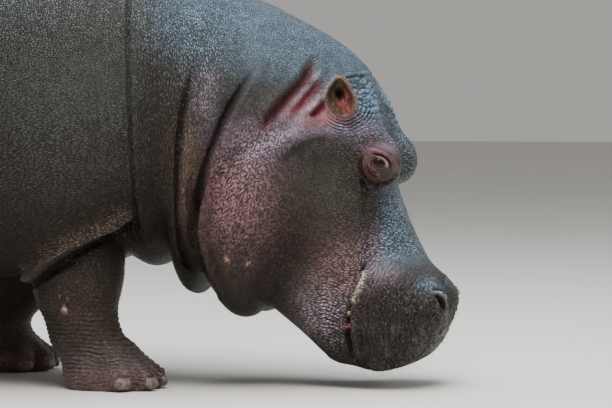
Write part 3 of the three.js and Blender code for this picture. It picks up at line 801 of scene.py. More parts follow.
def arm_relief(p):
    """The skin folds where the trunk overhangs the forearm, on each foreleg."""
    lift = np.zeros(len(p))
    for name, shift in ARM_SHIFTS.items():
        leg_side = np.sign(LEGS[name]["sole"][1])
        q = p - np.array((shift, 0, 0))
        outer = ramp(p[:, 1] * leg_side, 0.20, 0.30)
        lift += outer * sum(groove(q, *row) for row in ARM_GROOVES)
    return lift


def soft_relief(q, p):
    """Slack and ripples of the whole hide, stronger on the neck."""
    neck = ramp(q[:, 0], 0.45, 0.60) * ramp(0.95 - q[:, 0], 0.0, 0.20) * ramp(q[:, 2], 0.35, 0.5)
    lift = 0.0040 * noise(p, 0.21, 11) + 0.0020 * noise(p, 0.075, 12)
    stretched = p * np.array((1.0, 0.4, 0.22))
    return lift + neck * (0.0040 * noise(stretched, 0.045, 13) + 0.0016 * noise(stretched, 0.018, 14))


def leg_wrinkles(q, p):
    """Level wrinkles round the lower legs, which slant at the near elbow."""
    up = p[:, 2]
    low = ramp(0.40 - up, 0.0, 0.20) * ramp(up, 0.004, 0.03) * (1 - ramp(q[:, 0], 0.60, 0.66))
    drift = 0.95 * noise(p * np.array((1, 1, 0.5)), 0.070, 21) + 0.34 * noise(p, 0.026, 22)
    strength = 0.60 + 0.40 * noise(p, 0.035, 23)
    coarse = wrinkles(up / 0.0112 + drift, 0.46)
    fine = wrinkles(up / 0.0072 - 1.4 * drift, 0.50) * ramp(up, 0.16, 0.26)
    slanting = wrinkles((up - 0.9 * p[:, 0]) / 0.0140 + drift, 0.46)
    elbow = patch(p, *NEAR_ELBOW)
    lines = (1 - elbow) * (coarse - WRINKLE_MEAN) + elbow * 1.2 * (slanting - WRINKLE_MEAN)
    deeper_down = 0.45 + 0.55 * ramp(0.26 - up, 0, 0.10)
    return -low * strength * (0.0046 * lines * deeper_down + 0.0014 * (fine - WRINKLE_MEAN))


def toe_relief(p):
    """Grooves between the toes and the swollen skin round each nail."""
    lift = np.zeros(len(p))
    for leg in LEGS.values():
        x, y = leg["sole"]
        turn = math.radians(leg["turn"])
        dx, dy = p[:, 0] - x, p[:, 1] - y
        ahead = dx * math.cos(turn) + dy * math.sin(turn)
        left = dy * math.cos(turn) - dx * math.sin(turn)
        out = np.hypot(ahead, left)
        angle = np.degrees(np.arctan2(left, ahead))
        near = ramp(0.18 - out, 0, 0.03) * ramp(out, 0.05, 0.08) * ramp(0.085 - p[:, 2], 0, 0.05)
        for gap in TOE_GAPS:
            lift -= 0.0075 * near * bump(angle, gap, 5)
        for toe in TOE_TURNS:
            from_nail = np.linalg.norm((p - nail_centre(leg, toe)) / (0.030, 0.030, 0.024), axis=1)
            lift += 0.0040 * bump(from_nail, 1.02, 0.22)
    return lift


def jaw_wrinkles(q):
    """Wrinkles behind the corner of the mouth, and down the upper lip."""
    x, _, z = q.T
    bowed = z + 0.9 * (x - 0.97) ** 2 / 0.1 + 0.10 * (x - 1.0)
    behind = patch(q, *BEHIND_MOUTH) * ramp(1.03 - x, 0, 0.02)
    lip = patch(q, *UPPER_LIP) * ramp(x - 1.045 + 0.1 * (z - 0.25), 0, 0.02)
    behind_lines = wrinkles(bowed / 0.0092 + 0.8 * noise(q, 0.040, 31), 0.45)
    lip_lines = wrinkles((x - 0.45 * z) / 0.0100 + 0.7 * noise(q, 0.04, 32), 0.45)
    return -0.0056 * behind * (behind_lines - WRINKLE_MEAN) - 0.0050 * lip * (lip_lines - WRINKLE_MEAN)


def ear_base_wrinkles(q):
    """Arcs round the lower front of the ear's root."""
    forward, _, upward, ring = ear_place(q)
    distance = np.hypot(forward, upward)
    where = facing(forward, upward, -48, 0.9) * bump(distance, 0.070, 0.022) * ramp(ring, 1.0, 1.12)
    return -0.0085 * where * (wrinkles(distance / 0.0082 + 0.35 * noise(q, 0.03, 41), 0.50) - WRINKLE_MEAN)


def poll_pebbles(q):
    """Lumps on the forehead between the ears and down to the brows, and where they are."""
    _, outward, _, ring = ear_place(q)
    where = np.clip(patch(q, *POLL) * 1.5, 0, 1)
    where = where * ramp(ring, 1.05, 1.3) * ramp(outward, -0.25, -0.10)
    lift = np.zeros(len(q))
    near = where > 0.03
    if near.any():
        warped = q[near] * np.array((1, 0.8, 1)) + 0.004 * noise(q[near], 0.02, 51)[:, None]
        lift[near] = 0.0135 * (pebbles(warped, 0.0155, 52) - 0.58)
    return lift * where + groove(q, BROW_CREASE, 0.0030, 0.0040), where


def muzzle_lumps(q):
    """Bristle-bearing lumps about the nostrils, and pores and creases on the lips."""
    where = patch(q, *NOSE_LUMPS) * ramp(-nostril_shape(q)[0], 0.008, 0.022)
    lift = np.zeros(len(q))
    near = (q[:, 0] > 1.06) & (q[:, 2] < 0.36)
    if near.any():
        q = q[near]
        bent = q + 0.006 * noise(q, 0.02, 57)[:, None]
        lumps = pebbles(bent * (1, 1, 0.7), 0.0150, 55) - 0.5
        pores = pebbles(bent, 0.0080, 56) - 0.5
        creases = wrinkles(q[:, 0] / 0.0125 + 1.6 * noise(q, 0.035, 58), 0.35) - 0.3
        low = ramp(0.32 - q[:, 2], 0, 0.06)
        lift[near] = 0.0130 * where[near] * lumps + 0.0016 * pores * low - 0.0036 * creases * low
    return lift


# ------------------------------------------------------------------- the colours


def srgb(red, green, blue):
    """Linear colour from 0 to 255 screen values."""
    c = np.array((red, green, blue)) / 255
    return np.where(c < 0.04045, c / 12.92, ((c + 0.055) / 1.055) ** 2.4)


HIDE_GREY = srgb(52, 57, 56)
# Painted sheen: the cool blue of a reflected sky on the top of the back, the neck and the forehead.
BACK_BLUE_SHEEN = srgb(82, 106, 124)
# Painted sheen: the cool blue of a reflected sky on the bridge of the nose.
NASAL_BLUE_SHEEN = srgb(96, 118, 134)
# Partly painted shade: the belly's brown, made dark enough to stand for the shade of the underside.
BELLY_SHADE_BROWN = srgb(26, 18, 10)
LEG_BROWN = srgb(50, 41, 34)
FOOT_BROWN = srgb(80, 72, 71)
SHADE_BROWN = srgb(22, 16, 12)
# The tan of the second throat fold, and a painted highlight on the lip of skin over the arm.
RIDGE_BROWN = srgb(118, 98, 84)
JOWL_PINK = srgb(174, 130, 134)
# Painted sheen: pale lavender along the top of the jowl.
JOWL_LILAC_SHEEN = srgb(170, 152, 172)
NECK_MAUVE = srgb(148, 130, 144)
FLESH_PINK = srgb(160, 106, 116)
DEEP_RED = srgb(112, 36, 46)
MUZZLE_DARK = srgb(20, 16, 12)
CHEEK_OLIVE = srgb(66, 64, 52)
CHIN_MAUVE = srgb(142, 128, 134)
LIP_PALE = srgb(255, 240, 222)
# Painted highlight: lavender on the cheek ridge and on the top of the brow.
BROW_LILAC_SHEEN = srgb(128, 118, 136)
SCAR = srgb(196, 158, 140)
TOE_PINK = srgb(128, 92, 92)
GUM_PINK = srgb(206, 124, 140)
MUZZLE_GREY = srgb(62, 58, 54)
MUZZLE_BLACK = srgb(15, 12, 10)
# Painted highlight: raised ridges and lips are lightened, a little more in blue, like a sheen of cool light.
RIDGE_PAINTED_HIGHLIGHT = np.array((0.85, 0.92, 1.0))   # how much lighter a ridge's red, green and blue are

# Soft patches of colour, in the order they are laid on: how strong, the middle of each on
# the left side (the right mirrors it), how far it reaches each way, and its colour.
PATCHES = (
    (0.75, (0.590, 0.35, 0.640), (0.050, 0.30, 0.240), SHADE_BROWN),
    (0.85, (0.765, 0.26, 0.490), (0.085, 0.16, 0.125), JOWL_PINK),
    (0.75, (0.800, 0.27, 0.625), (0.095, 0.14, 0.050), NECK_MAUVE),
    (0.65, (0.652, 0.34, 0.560), (0.036, 0.14, 0.170), RIDGE_BROWN),
    (0.55, (0.705, 0.30, 0.740), (0.026, 0.14, 0.070), NECK_MAUVE),
    (0.75, (0.975, 0.15, 0.480), (0.085, 0.12, 0.130), CHEEK_OLIVE),
    (0.60, (0.945, 0.22, 0.585), (0.060, 0.12, 0.035), SHADE_BROWN),
    (0.80, (0.935, 0.24, 0.695), (0.050, 0.12, 0.040), FLESH_PINK),
    (0.70, (0.880, 0.26, 0.655), (0.060, 0.12, 0.028), NECK_MAUVE),
    (0.95, (0.988, 0.20, 0.680), (0.048, 0.09, 0.022), FLESH_PINK),
    # Painted highlight on the top of the brow.
    (0.85, (1.060, 0.15, 0.655), (0.045, 0.10, 0.032), BROW_LILAC_SHEEN),
    (0.50, (1.000, 0.16, 0.300), (0.065, 0.10, 0.080), JOWL_PINK),
    (0.85, (0.955, 0.16, 0.190), (0.070, 0.10, 0.070), CHIN_MAUVE),
    (0.85, (1.100, 0.15, 0.340), (0.045, 0.10, 0.070), NECK_MAUVE),
)
# Small marks, laid on one by one: their middle and how far they reach.
# Painted sheen of blue-grey on the top of the nose about the nostrils.
NOSE_SHEEN_PATCH = ((1.212, 0.10, 0.262), (0.032, 0.06, 0.022))
GUM = ((1.017, 0.17, 0.162), (0.007, 0.06, 0.0050))
JOWL_SCARS = (
    ((0.746, 0.28, 0.333), (0.006, 0.16, 0.006)),
    ((0.795, 0.25, 0.323), (0.005, 0.16, 0.005)),
)
ELBOW_GRAZES = (
    ((0.339, -0.36, 0.240), (0.010, 0.16, 0.009)),
    ((0.337, -0.36, 0.208), (0.012, 0.16, 0.010)),
)
TEAR_STAIN = ((1.089, 0.15, 0.500), (0.007, 0.06, 0.030))
# Painted glint: a pale wet highlight on the tear stain.
TEAR_HIGHLIGHT = ((1.100, 0.17, 0.543), (0.0035, 0.06, 0.007))
BROW_INNER = ((1.120, 0.05, 0.570), (0.060, 0.14, 0.075))


def skin_colours(p, q, masks):
    """The hide's colour at every point, laid on in patches like thin washes, with painted shade in the
    hollows of folds and wrinkles and painted highlights on their ridges.
    """
    colour = np.tile(HIDE_GREY, (len(p), 1))

    def wash(amount, tint):
        colour[:] = colour + np.clip(amount, 0, 1)[:, None] * (tint - colour)

    mottled = 0.5 + 0.5 * noise(p, 0.035, 62)
    on_leg = ramp(0.62 - q[:, 0], 0, 0.05)
    body_colours(p, q, on_leg, wash)
    face_colours(p, q, masks["pebbles"], wash)
    eye_colours(q, wash)
    ear_colours(q, wash)
    mouth_colours(q, wash)
    colour *= (0.90 + 0.20 * mottled)[:, None] * (0.94 + 0.12 * noise(p, 0.012, 64))[:, None]
    # Painted shade in the hollows of folds and wrinkles, and a painted highlight on their ridges.
    colour *= (1 - masks["hollow"])[:, None] * (1 + masks["ridge"][:, None] * RIDGE_PAINTED_HIGHLIGHT)
    mark_colours(p, q, mottled, on_leg, wash)
    return np.clip(colour, 0, 1)


def body_colours(p, q, on_leg, wash):
    """Brown belly and legs, the belly darkened toward the bottom as painted shade, a painted blue sheen on
    the back and neck, and a painted highlight on the edge of the skin over the arm.
    """
    x, _, z = q.T
    uneven = 0.5 + 0.5 * noise(p, 0.16, 61)
    on_neck = ramp(x, 0.50, 0.62) * ramp(z - 0.06 * uneven + 0.25 * (x - 0.6), 0.76, 0.94)
    # Painted highlight along the lip of skin that overhangs the forearm.
    distance, share = line_distance(p, ARM_FOLD)
    over_arm = 0.34 * bump(distance, 0.030, 0.024) * ends(share, 0.1, 0.1) * ramp(-p[:, 1], 0.1, 0.2)
    # Painted shade: the belly's brown grows darker toward the bottom, standing for the underside's shade.
    wash(ramp(0.72 - z + 0.14 * uneven, 0.0, 0.34) * 0.95, BELLY_SHADE_BROWN)
    # Painted sheen: cool blue washed over the top of the back and the neck.
    wash(ramp(z - 0.10 * uneven, 0.84, 1.12) * 0.50, BACK_BLUE_SHEEN)
    wash(on_neck * 0.90, BACK_BLUE_SHEEN)
    wash(ramp(0.34 - z, 0.0, 0.16) * on_leg * 0.9, LEG_BROWN)
    wash(ramp(0.15 - z, 0.0, 0.10) * on_leg * 0.8, FOOT_BROWN)
    wash(over_arm, RIDGE_BROWN)


def face_colours(p, q, on_pebbles, wash):
    """The patches of the neck and face, the mottled muzzle, a painted blue sheen on the nose and forehead,
    and the folds and ridges, some ridges with painted highlights.
    """
    x, y, z = q.T
    for amount, centre, radii, tint in PATCHES:
        wash(amount * patch(q, centre, radii), tint)
    muzzle = ramp(x + 0.25 * (0.25 - z), 1.03, 1.13) * ramp(0.31 - z, 0.0, 0.10)
    wash(0.95 * muzzle, MUZZLE_DARK)
    wash(0.65 * muzzle * ramp(noise(p, 0.032, 65), 0.05, 0.45), MUZZLE_GREY)
    wash(0.80 * muzzle * ramp(noise(p, 0.024, 66), 0.05, 0.40), MUZZLE_BLACK)
    # Painted sheen of cool blue on the bridge of the nose and about the nostrils.
    wash(0.85 * ramp(x, 1.07, 1.12) * ramp(z, 0.28, 0.36), NASAL_BLUE_SHEEN)
    # Painted sheen of cool blue on the lumps of the forehead.
    wash(0.85 * on_pebbles, BACK_BLUE_SHEEN)
    wash(0.80 * patch(q, *NOSE_SHEEN_PATCH), NASAL_BLUE_SHEEN)
    off_middle = ramp(y, 0.1, 0.16)
    # The ridges between the red folds behind the ear are painted a paler mauve, partly the skin's own colour
    # and partly painted highlight.
    for line in EAR_RIDGES:
        wash(0.80 * crease(q, line, 0.011) * off_middle, NECK_MAUVE)
    # Painted highlights along the cheek ridge and the jowl's upper ridge.
    wash(0.75 * crease(q, CHEEK_RIDGE, 0.012), BROW_LILAC_SHEEN)
    wash(0.75 * crease(q, JOWL_RIDGE, 0.013), JOWL_LILAC_SHEEN)
    for line, width in zip(EAR_FOLDS, (0.012, 0.013, 0.012)):
        wash(0.90 * crease(q, line, width) * off_middle, DEEP_RED)
    wash(0.85 * crease(q, CHEEK_HOLLOW, 0.012), SHADE_BROWN)


def mark_colours(p, q, mottled, on_leg, wash):
    """The scars, toes, pale lip and gum, which go on after the shading of the folds."""
    for centre, radii in JOWL_SCARS:
        wash(1.2 * patch(q, centre, radii), SCAR)
    graze = sum(patch(p, centre, radii) for centre, radii in ELBOW_GRAZES)
    wash(1.1 * graze * ramp(noise(p, 0.012, 63), 0.0, 0.4), SCAR)
    wash(0.55 * (ramp(0.075 - q[:, 2], 0, 0.05) * on_leg) * (0.4 + 0.6 * mottled), TOE_PINK)
    distance, share = line_distance(q, MOUTH_LINE)
    strip = ramp(share, 0.02, 0.08) * ramp(0.33 - share, 0, 0.08) * (q[:, 2] < 0.33)
    wash(2.4 * bump(distance, 0.0075, 0.0080) * strip * (0.5 + 0.5 * mottled), LIP_PALE)
    wash(1.1 * patch(q, *GUM), GUM_PINK)


def eye_colours(q, wash):
    """A mauve upper lid, brown below, a pink crescent over the eye and stains below it, with a painted
    highlight on the top of the brow's bulge, the painted shadow of the upper lid's fold and a painted glint
    on the tear stain.
    """
    forward, outward, upward = in_axes(q, EYE, eye_axes())
    ring = lid_ring(forward, upward)
    near = ramp(outward, -0.05, -0.02) * ramp(0.085 - np.hypot(forward, upward), 0, 0.04)
    above = facing(forward, upward, 42, 0.85)
    for amount, colour in (
            (0.90 * near, (66, 46, 46)),
            # Painted highlight: lavender on the top of the bulge, as if lit from above.
            (0.85 * near * bump(upward, 0.045, 0.017), (112, 94, 108)),
            (0.90 * near * facing(forward, upward, 80, 0.8) * bump(ring, 2.9, 0.75), (110, 64, 72)),
            (0.85 * near * facing(forward, upward, -5, 0.5) * bump(ring, 3.1, 0.90), (64, 42, 34)),
            (0.92 * near * facing(forward, upward, 262, 0.9) * ramp(ring, 1.2, 2.4), (38, 23, 18)),
            (0.75 * near * facing(forward, upward, 190, 0.6) * bump(ring, 2.0, 0.60), (104, 70, 72)),
            (0.85 * near * (1 - above) * bump(ring, 1.20, 0.22), (44, 22, 18)),
            (0.95 * near * ramp(1.68 - ring, 0, 0.14) * above, (142, 106, 114)),
            # Painted shadow of the upper lid's fold: a dark line outside the crescent.
            (0.92 * near * above * bump(ring, 2.06, 0.15), (20, 7, 7)),
            (0.90 * near * ramp(1.10 - ring, 0, 0.06), (20, 8, 6)),
            (0.60 * patch(q, *TEAR_STAIN), (78, 50, 26)),
            # Painted glint on the tear stain.
            (0.40 * patch(q, *TEAR_HIGHLIGHT), (136, 104, 76)),
            (0.75 * ramp(0.125 - q[:, 1], 0, 0.03) * patch(q, *BROW_INNER), (50, 52, 52))):
        wash(amount, srgb(*colour))


def ear_colours(q, wash):
    """Brown in the ear, redder in front and below, its hole painted dark as shade, and a paler rim."""
    forward, outward, upward, ring = ear_place(q)
    outer = ramp(outward, 0.0, 0.006)
    in_ear = ramp(1.0 - ring, 0, 0.08) * outer
    below = np.exp(-((forward - 0.002) / 0.014) ** 2 - ((upward + 0.016) / 0.016) ** 2)
    hole = np.exp(-((forward + 0.003) / 0.010) ** 2 - ((upward - 0.006) / 0.018) ** 2)
    for amount, colour in (
            (0.95 * in_ear, (66, 54, 40)),
            (0.80 * in_ear * ramp(forward, -0.004, 0.010), (104, 60, 52)),
            (0.80 * in_ear * below, (160, 88, 84)),
            # Painted shade: the deep hole painted nearly black.
            (0.95 * in_ear * hole, (26, 9, 9)),
            (0.35 * bump(ring, 1.0, 0.05) * outer, (150, 108, 96))):
        wash(amount, srgb(*colour))


def mouth_colours(q, wash):
    """The line between the lips and the nostrils' openings, painted dark as shade, and the nostrils' red
    insides and pale rims.
    """
    distance, share = line_distance(q, MOUTH_LINE)
    line = np.exp(-((distance + 0.001) / (0.0055 + 0.0030 * mouth_parting(share))) ** 2)
    inside, down, across, near = nostril_shape(q)
    upper = 0.3 + 0.7 * ramp(-down, -0.020, 0.012)
    rim = bump(inside, -0.0050, 0.0042) * ramp(across, -0.002, 0.004) * upper
    for amount, colour in (
            # Painted shade in the slit where the lips part.
            (0.97 * line * ramp(share, 0.28, 0.38) * (q[:, 2] < 0.33), (9, 4, 4)),
            (0.90 * near * rim, (132, 150, 156)),
            # Painted shade in the nostril's opening.
            (0.97 * near * ramp(inside, -0.0012, 0.0010), (26, 9, 7)),
            (0.75 * near * ramp(inside, 0.0, 0.002) * ramp(-across, -0.002, 0.004), (104, 34, 26))):
        wash(amount, srgb(*colour))


# --------------------------------------------------------------------- the skin

# Areas of the skin: their middle on the left side and how far they reach each way.
JOWL_NET = ((0.810, 0.25, 0.480), (0.130, 0.22, 0.230))
BEHIND_EAR = ((0.925, 0.24, 0.730), (0.080, 0.14, 0.080))
PINK_EAR = ((0.965, 0.21, 0.700), (0.070, 0.12, 0.060))


def near_line(q, line, reach, side):
    """Which points are within reach of a line, and further than side from the middle."""
    return (np.abs(line_distance(q, line)[0]) < reach) & (q[:, 1] > side)


def fine_zone(p):
    """Where the skin needs points two millimetres apart: face, ears, lips and feet."""
    q = mirror_left(p)
    near = distance_from(q, EYE) < 0.085
    near |= distance_from(q, EAR) < 0.105
    near |= np.linalg.norm((q - POLL[0]) / (0.075, 0.20, 0.085), axis=1) < 1
    near |= (q[:, 0] > 0.945) & (q[:, 2] < 0.34)
    near |= near_line(q, CHEEK_LINE, 0.018, 0.08)
    near |= near_line(q, SHOULDER_CREASE, 0.014, 0.1) & (p[:, 1] < 0)
    near |= (p[:, 2] < 0.30) & (p[:, 0] > 0.10) & (p[:, 0] < 0.62) & (p[:, 1] < 0)
    return near


def finest_zone(p):
    """A millimetre apart on the lids, the ears' edges and the nostrils."""
    q = mirror_left(p)
    near = distance_from(q, EYE) < 0.038
    near |= ear_place(q)[3] < 1.25
    near &= q[:, 1] > 0.14
    return near | (distance_from(q, NOSTRIL) < 0.040)


def medium_zone(p):
    """Half the grid's step on the neck, head, legs, tail and shoulder crease."""
    x, y, z = p.T
    folds = near_line(mirror_left(p), SHOULDER_CREASE, 0.03, 0.1)
    on_tail = (x < -1.20) & (np.abs(y) < 0.10)
    over_arm = (x > -0.10) & (x < 0.56) & (z < 0.46)
    return (x > 0.56) | (z < 0.33) | folds | on_tail | over_arm


def add_attribute(mesh, name, values):
    attribute = mesh.attributes.new(name, "FLOAT", "POINT")
    attribute.data.foreach_set("value", np.clip(values, 0, 1).astype(np.float32))


def skin_mesh():
    """The skin laid on the field, finer in its zones, and its points."""
    points, quads = lay_mesh(hide_field, FIELD_LOW, FIELD_HIGH)
    mesh = mesh_from("skin", points, quads)
    for zone in (medium_zone, fine_zone, finest_zone):
        refine(mesh, zone)
    points, normals = mesh_points(mesh), mesh_normals(mesh)
    for _ in range(2):
        points = points - hide_field(points)[:, None] * normals
    points[:, 2] = np.maximum(points[:, 2], 0)
    move_points(mesh, points)
    return mesh, points


def set_nets(mesh, p, q, smooth):
    """Where the hide's wrinkles run level, upright or slanting, or are mere grain."""
    neck = ramp(q[:, 0], 0.53, 0.55) * ramp(0.90 - q[:, 0], 0, 0.20)
    jowl = np.clip(patch(q, *JOWL_NET) * 1.8, 0, 1)
    muzzle = ramp(q[:, 0], 1.05, 1.12) * ramp(0.36 - q[:, 2], 0, 0.08)
    upper = ramp(q[:, 2], 0.60, 0.95) * (1 - neck)
    on_legs = ramp(0.36 - p[:, 2], 0, 0.12) * ramp(0.60 - p[:, 0], 0, 0.05)
    level = 1 - np.clip(neck + jowl + muzzle + upper, 0, 1)
    add_attribute(mesh, "level", level * (1 - smooth) * (1 - 0.5 * on_legs))
    add_attribute(mesh, "upright", np.clip(neck - jowl, 0, 1) * (1 - smooth))
    add_attribute(mesh, "slant", jowl * (1 - smooth))
    add_attribute(mesh, "grain", np.clip(0.6 * muzzle + upper, 0, 1) * (1 - smooth))
    add_attribute(mesh, "wet", muzzle * 0.8 + 0.2 * bump(distance_from(q, EYE), 0.02, 0.02))


def make_skin():
    """The whole skin's mesh, in the frame, with its colours and its wrinkles' directions."""
    mesh, points = skin_mesh()
    normals = mesh_normals(mesh)
    p = points.astype(float)
    q = mirror_left(p)
    pebble_lift, pebble_mask = poll_pebbles(q)
    on_ear = ramp(1.12 - ear_place(q)[3], 0, 0.1) * ramp(q[:, 1], 0.16, 0.18)
    by_eye = ramp(0.060 - distance_from(q, EYE), 0, 0.02)
    elsewhere = (1 - on_ear) * (1 - by_eye)
    folds = fold_relief(q) + arm_relief(p) + toe_relief(p) + mouth_relief(q) + nostril_relief(q)
    folds *= elsewhere
    small = leg_wrinkles(q, p) + jaw_wrinkles(q) + ear_base_wrinkles(q) + pebble_lift + muzzle_lumps(q)
    small *= elsewhere
    lids = eye_folds(q)
    soft = soft_relief(q, p) * elsewhere
    lift = (folds + small + lids + soft) * ramp(p[:, 2], 0.0, 0.02)
    moved = lay_lids(q, p, p + lift[:, None] * normals) + ear_cup(q, p, normals)
    moved[:, 2] = np.maximum(moved[:, 2], 0)

    # Masks for painted shade in the hollows of folds and wrinkles and a painted highlight on their ridges and
    # lips.
    fold_depth = np.clip((-folds - 0.004) / 0.010, 0, 1) * (0.80 - 0.50 * patch(q, *BEHIND_EAR))
    small_depth = 0.62 * np.clip(-(small + lids) / 0.0030, 0, 1)
    masks = {
        "pebbles": pebble_mask,
        "hollow": np.clip(fold_depth + small_depth, 0, 0.9),
        "ridge": 0.60 * np.clip(small / 0.0024, 0, 1) + 0.20 * np.clip((folds + lids) / 0.006, 0, 1),
    }
    colours = np.concatenate((skin_colours(p, q, masks), np.ones((len(p), 1))), 1)
    attribute = mesh.attributes.new("tint", "FLOAT_COLOR", "POINT")
    attribute.data.foreach_set("color", colours.astype(np.float32).ravel())
    set_nets(mesh, p, q, np.clip(by_eye + on_ear + 0.7 * pebble_mask + 0.8 * patch(q, *PINK_EAR), 0, 1))
    shade_smooth(mesh)
    move_points(mesh, moved.astype(np.float32) + ORIGIN)
    return mesh


# -------------------------------------------------------------------- materials


class Nodes:
    """A short way to build a node material."""

    def __init__(self, name):
        self.material = bpy.data.materials.new(name)
        self.material.use_nodes = True
        self.tree = self.material.node_tree
        self.shader = self.tree.nodes["Principled BSDF"]
        self.place = self.add("ShaderNodeTexCoord").outputs["Object"]

    def add(self, kind, settings=None, **inputs):
        """A new node. Inputs are fed by name, or as i0, i1, ... by number."""
        node = self.tree.nodes.new(kind)
        for key, value in (settings or {}).items():
            setattr(node, key, value)
        for key, value in inputs.items():
            by_number = key[0] == "i" and key[1:].isdigit()
            self.feed(node, int(key[1:]) if by_number else key.replace("_", " "), value)
        return node

    def feed(self, node, key, value):
        if isinstance(value, bpy.types.NodeSocket):
            self.tree.links.new(value, node.inputs[key])
        else:
            node.inputs[key].default_value = value

    def maths(self, operation, a, b=0.0, clamp=False):
        settings = {"operation": operation, "use_clamp": clamp}
        return self.add("ShaderNodeMath", settings, i0=a, i1=b).outputs[0]

    def vector_maths(self, operation, *vectors):
        inputs = {f"i{number}": vector for number, vector in enumerate(vectors)}
        return self.add("ShaderNodeVectorMath", {"operation": operation}, **inputs).outputs[0]

    def attribute(self, name, output="Fac"):
        return self.add("ShaderNodeAttribute", {"attribute_name": name}).outputs[output]

    def ramp(self, value, low, high, out_low=0.0, out_high=1.0):
        node = self.add("ShaderNodeMapRange", {"interpolation_type": "SMOOTHSTEP"}, Value=value)
        for key, number in (("From Min", low), ("From Max", high), ("To Min", out_low), ("To Max", out_high)):
            node.inputs[key].default_value = number
        return node.outputs["Result"]

    def coordinates(self, source, scale, turn=0.0):
        """Coordinates turned by some degrees about y, and then scaled."""
        rotation = (0, math.radians(turn), 0)
        turned = self.add("ShaderNodeMapping", Vector=source, Rotation=rotation)
        return self.add("ShaderNodeMapping", Vector=turned.outputs[0], Scale=scale).outputs[0]

    def noise(self, vector, scale, detail=3.0, output="Fac"):
        node = self.add("ShaderNodeTexNoise", Vector=vector, Scale=scale, Detail=detail)
        return node.outputs[output]

    def scale_colour(self, colour, amount):
        scaled = self.add("ShaderNodeVectorMath", {"operation": "SCALE"}, i0=colour)
        self.feed(scaled, "Scale", amount)
        return scaled.outputs[0]

    def mix(self, amount, *colours):
        node = self.add("ShaderNodeMix", {"data_type": "RGBA"}, i0=amount)
        for key, colour in zip((6, 7), colours):
            linked = isinstance(colour, bpy.types.NodeSocket)
            self.feed(node, key, colour if linked else (*colour, 1))
        return node.outputs[2]

    def bump(self, height, distance):
        return self.add("ShaderNodeBump", Height=height, Distance=distance, Strength=1.0).outputs[0]

    def set(self, **inputs):
        for key, value in inputs.items():
            self.feed(self.shader, key.replace("_", " "), value)
        return self.material


# The nets of wrinkles: cells to the metre ahead, sideways and up, and degrees turned about y.
NETS = {
    "level": ((76, 105, 215), 0),
    "upright": ((200, 150, 78), 0),
    "slant": ((62, 125, 290), 50),
    "grain": ((165, 165, 180), 0),
}
NET_REST = 0.65               # height of the hide where there is no net
# What the tint is multiplied by in the nets' creases and between them: painted shade in the creases, and a
# painted bluish sheen on the cells between them.
CREASE_PAINTED_SHADE = (0.10, 0.09, 0.08)
RIDGE_PAINTED_SHEEN = (1.36, 1.39, 1.45)
WARM_GLOSS = (1.0, 0.88, 0.78, 1)           # the tint of the hide's highlights


def hide_material():
    """Wrinkled hide: nets of fine creases that run level, upright or slanting by region, with painted shade
    in the creases and a painted sheen between them.
    """
    n = Nodes("hide")
    wander = n.noise(n.place, 38.0, 2.0, output="Color")
    shifted = n.vector_maths("MULTIPLY_ADD", wander, (0.011,) * 3, n.place)
    height = 0.0
    weight = 0.0
    for name, (scale, turn) in NETS.items():
        vector = n.coordinates(shifted, scale, turn)
        cells = n.add("ShaderNodeTexVoronoi", {"feature": "DISTANCE_TO_EDGE"}, Vector=vector, Scale=1.0)
        net = n.ramp(cells.outputs["Distance"], 0.0, 0.25)
        share = n.attribute(name)
        height = n.maths("ADD", n.maths("MULTIPLY", share, net), height)
        weight = n.maths("ADD", share, weight)
    rest = n.maths("SUBTRACT", 1.0, weight, clamp=True)
    height = n.maths("ADD", height, n.maths("MULTIPLY", rest, NET_REST))

    fine = n.noise(n.place, 420.0, 4.0)
    mottle = n.noise(n.place, 26.0, 4.0)
    specks = n.noise(n.place, 190.0, 3.0)
    surface = n.maths("ADD", height, n.maths("MULTIPLY", fine, 0.25))
    wet = n.attribute("wet")
    pale_specks = n.maths("MULTIPLY", n.ramp(specks, 0.60, 0.70, 0.0, 0.40), wet)
    # Painted shade in the nets' creases and a painted sheen on the cells between them.
    shade = n.mix(height, CREASE_PAINTED_SHADE, RIDGE_PAINTED_SHEEN)
    tint = n.vector_maths("MULTIPLY", n.attribute("tint", "Color"), shade)
    tint = n.scale_colour(tint, n.ramp(specks, 0.28, 0.50, 0.70, 1.04))
    tint = n.scale_colour(tint, n.ramp(mottle, 0.30, 0.70, 0.80, 1.16))
    tint = n.mix(pale_specks, tint, srgb(150, 138, 124))
    rough = n.maths("SUBTRACT", n.ramp(fine, 0.25, 0.75, 0.46, 0.62), n.maths("MULTIPLY", height, 0.12))
    return n.set(Base_Color=tint, Roughness=rough, Normal=n.bump(surface, 0.0028),
                 Specular_IOR_Level=0.35, Specular_Tint=WARM_GLOSS,
                 Coat_Weight=n.maths("MULTIPLY", wet, 0.14), Coat_Roughness=0.22)


def eye_material():
    """A dark brown iris with a level pupil in a reddish white, under a wet coat."""
    n = Nodes("eye")
    brown = n.mix(n.noise(n.place, 900.0), srgb(16, 8, 5), srgb(44, 24, 15))
    ball_colour = n.mix(n.attribute("iris"), srgb(72, 40, 36), brown)
    ball_colour = n.mix(n.attribute("pupil"), ball_colour, (0.004, 0.003, 0.003))
    return n.set(Base_Color=ball_colour, Roughness=0.20, Specular_IOR_Level=0.12,
                 Coat_Weight=0.22, Coat_Roughness=0.03, Coat_IOR=1.38)


def nail_material():
    """Horn, streaked from root to edge and mottled."""
    n = Nodes("nail")
    streaks = n.noise(n.coordinates(n.place, (60, 60, 500)), 1.0, 4.0)
    mottle = n.noise(n.place, 90.0)
    horn = n.mix(n.ramp(mottle, 0.3, 0.7), srgb(116, 94, 94), srgb(66, 56, 54))
    rough = n.ramp(streaks, 0.3, 0.7, 0.35, 0.6)
    return n.set(Base_Color=horn, Roughness=rough, Normal=n.bump(streaks, 0.0008))


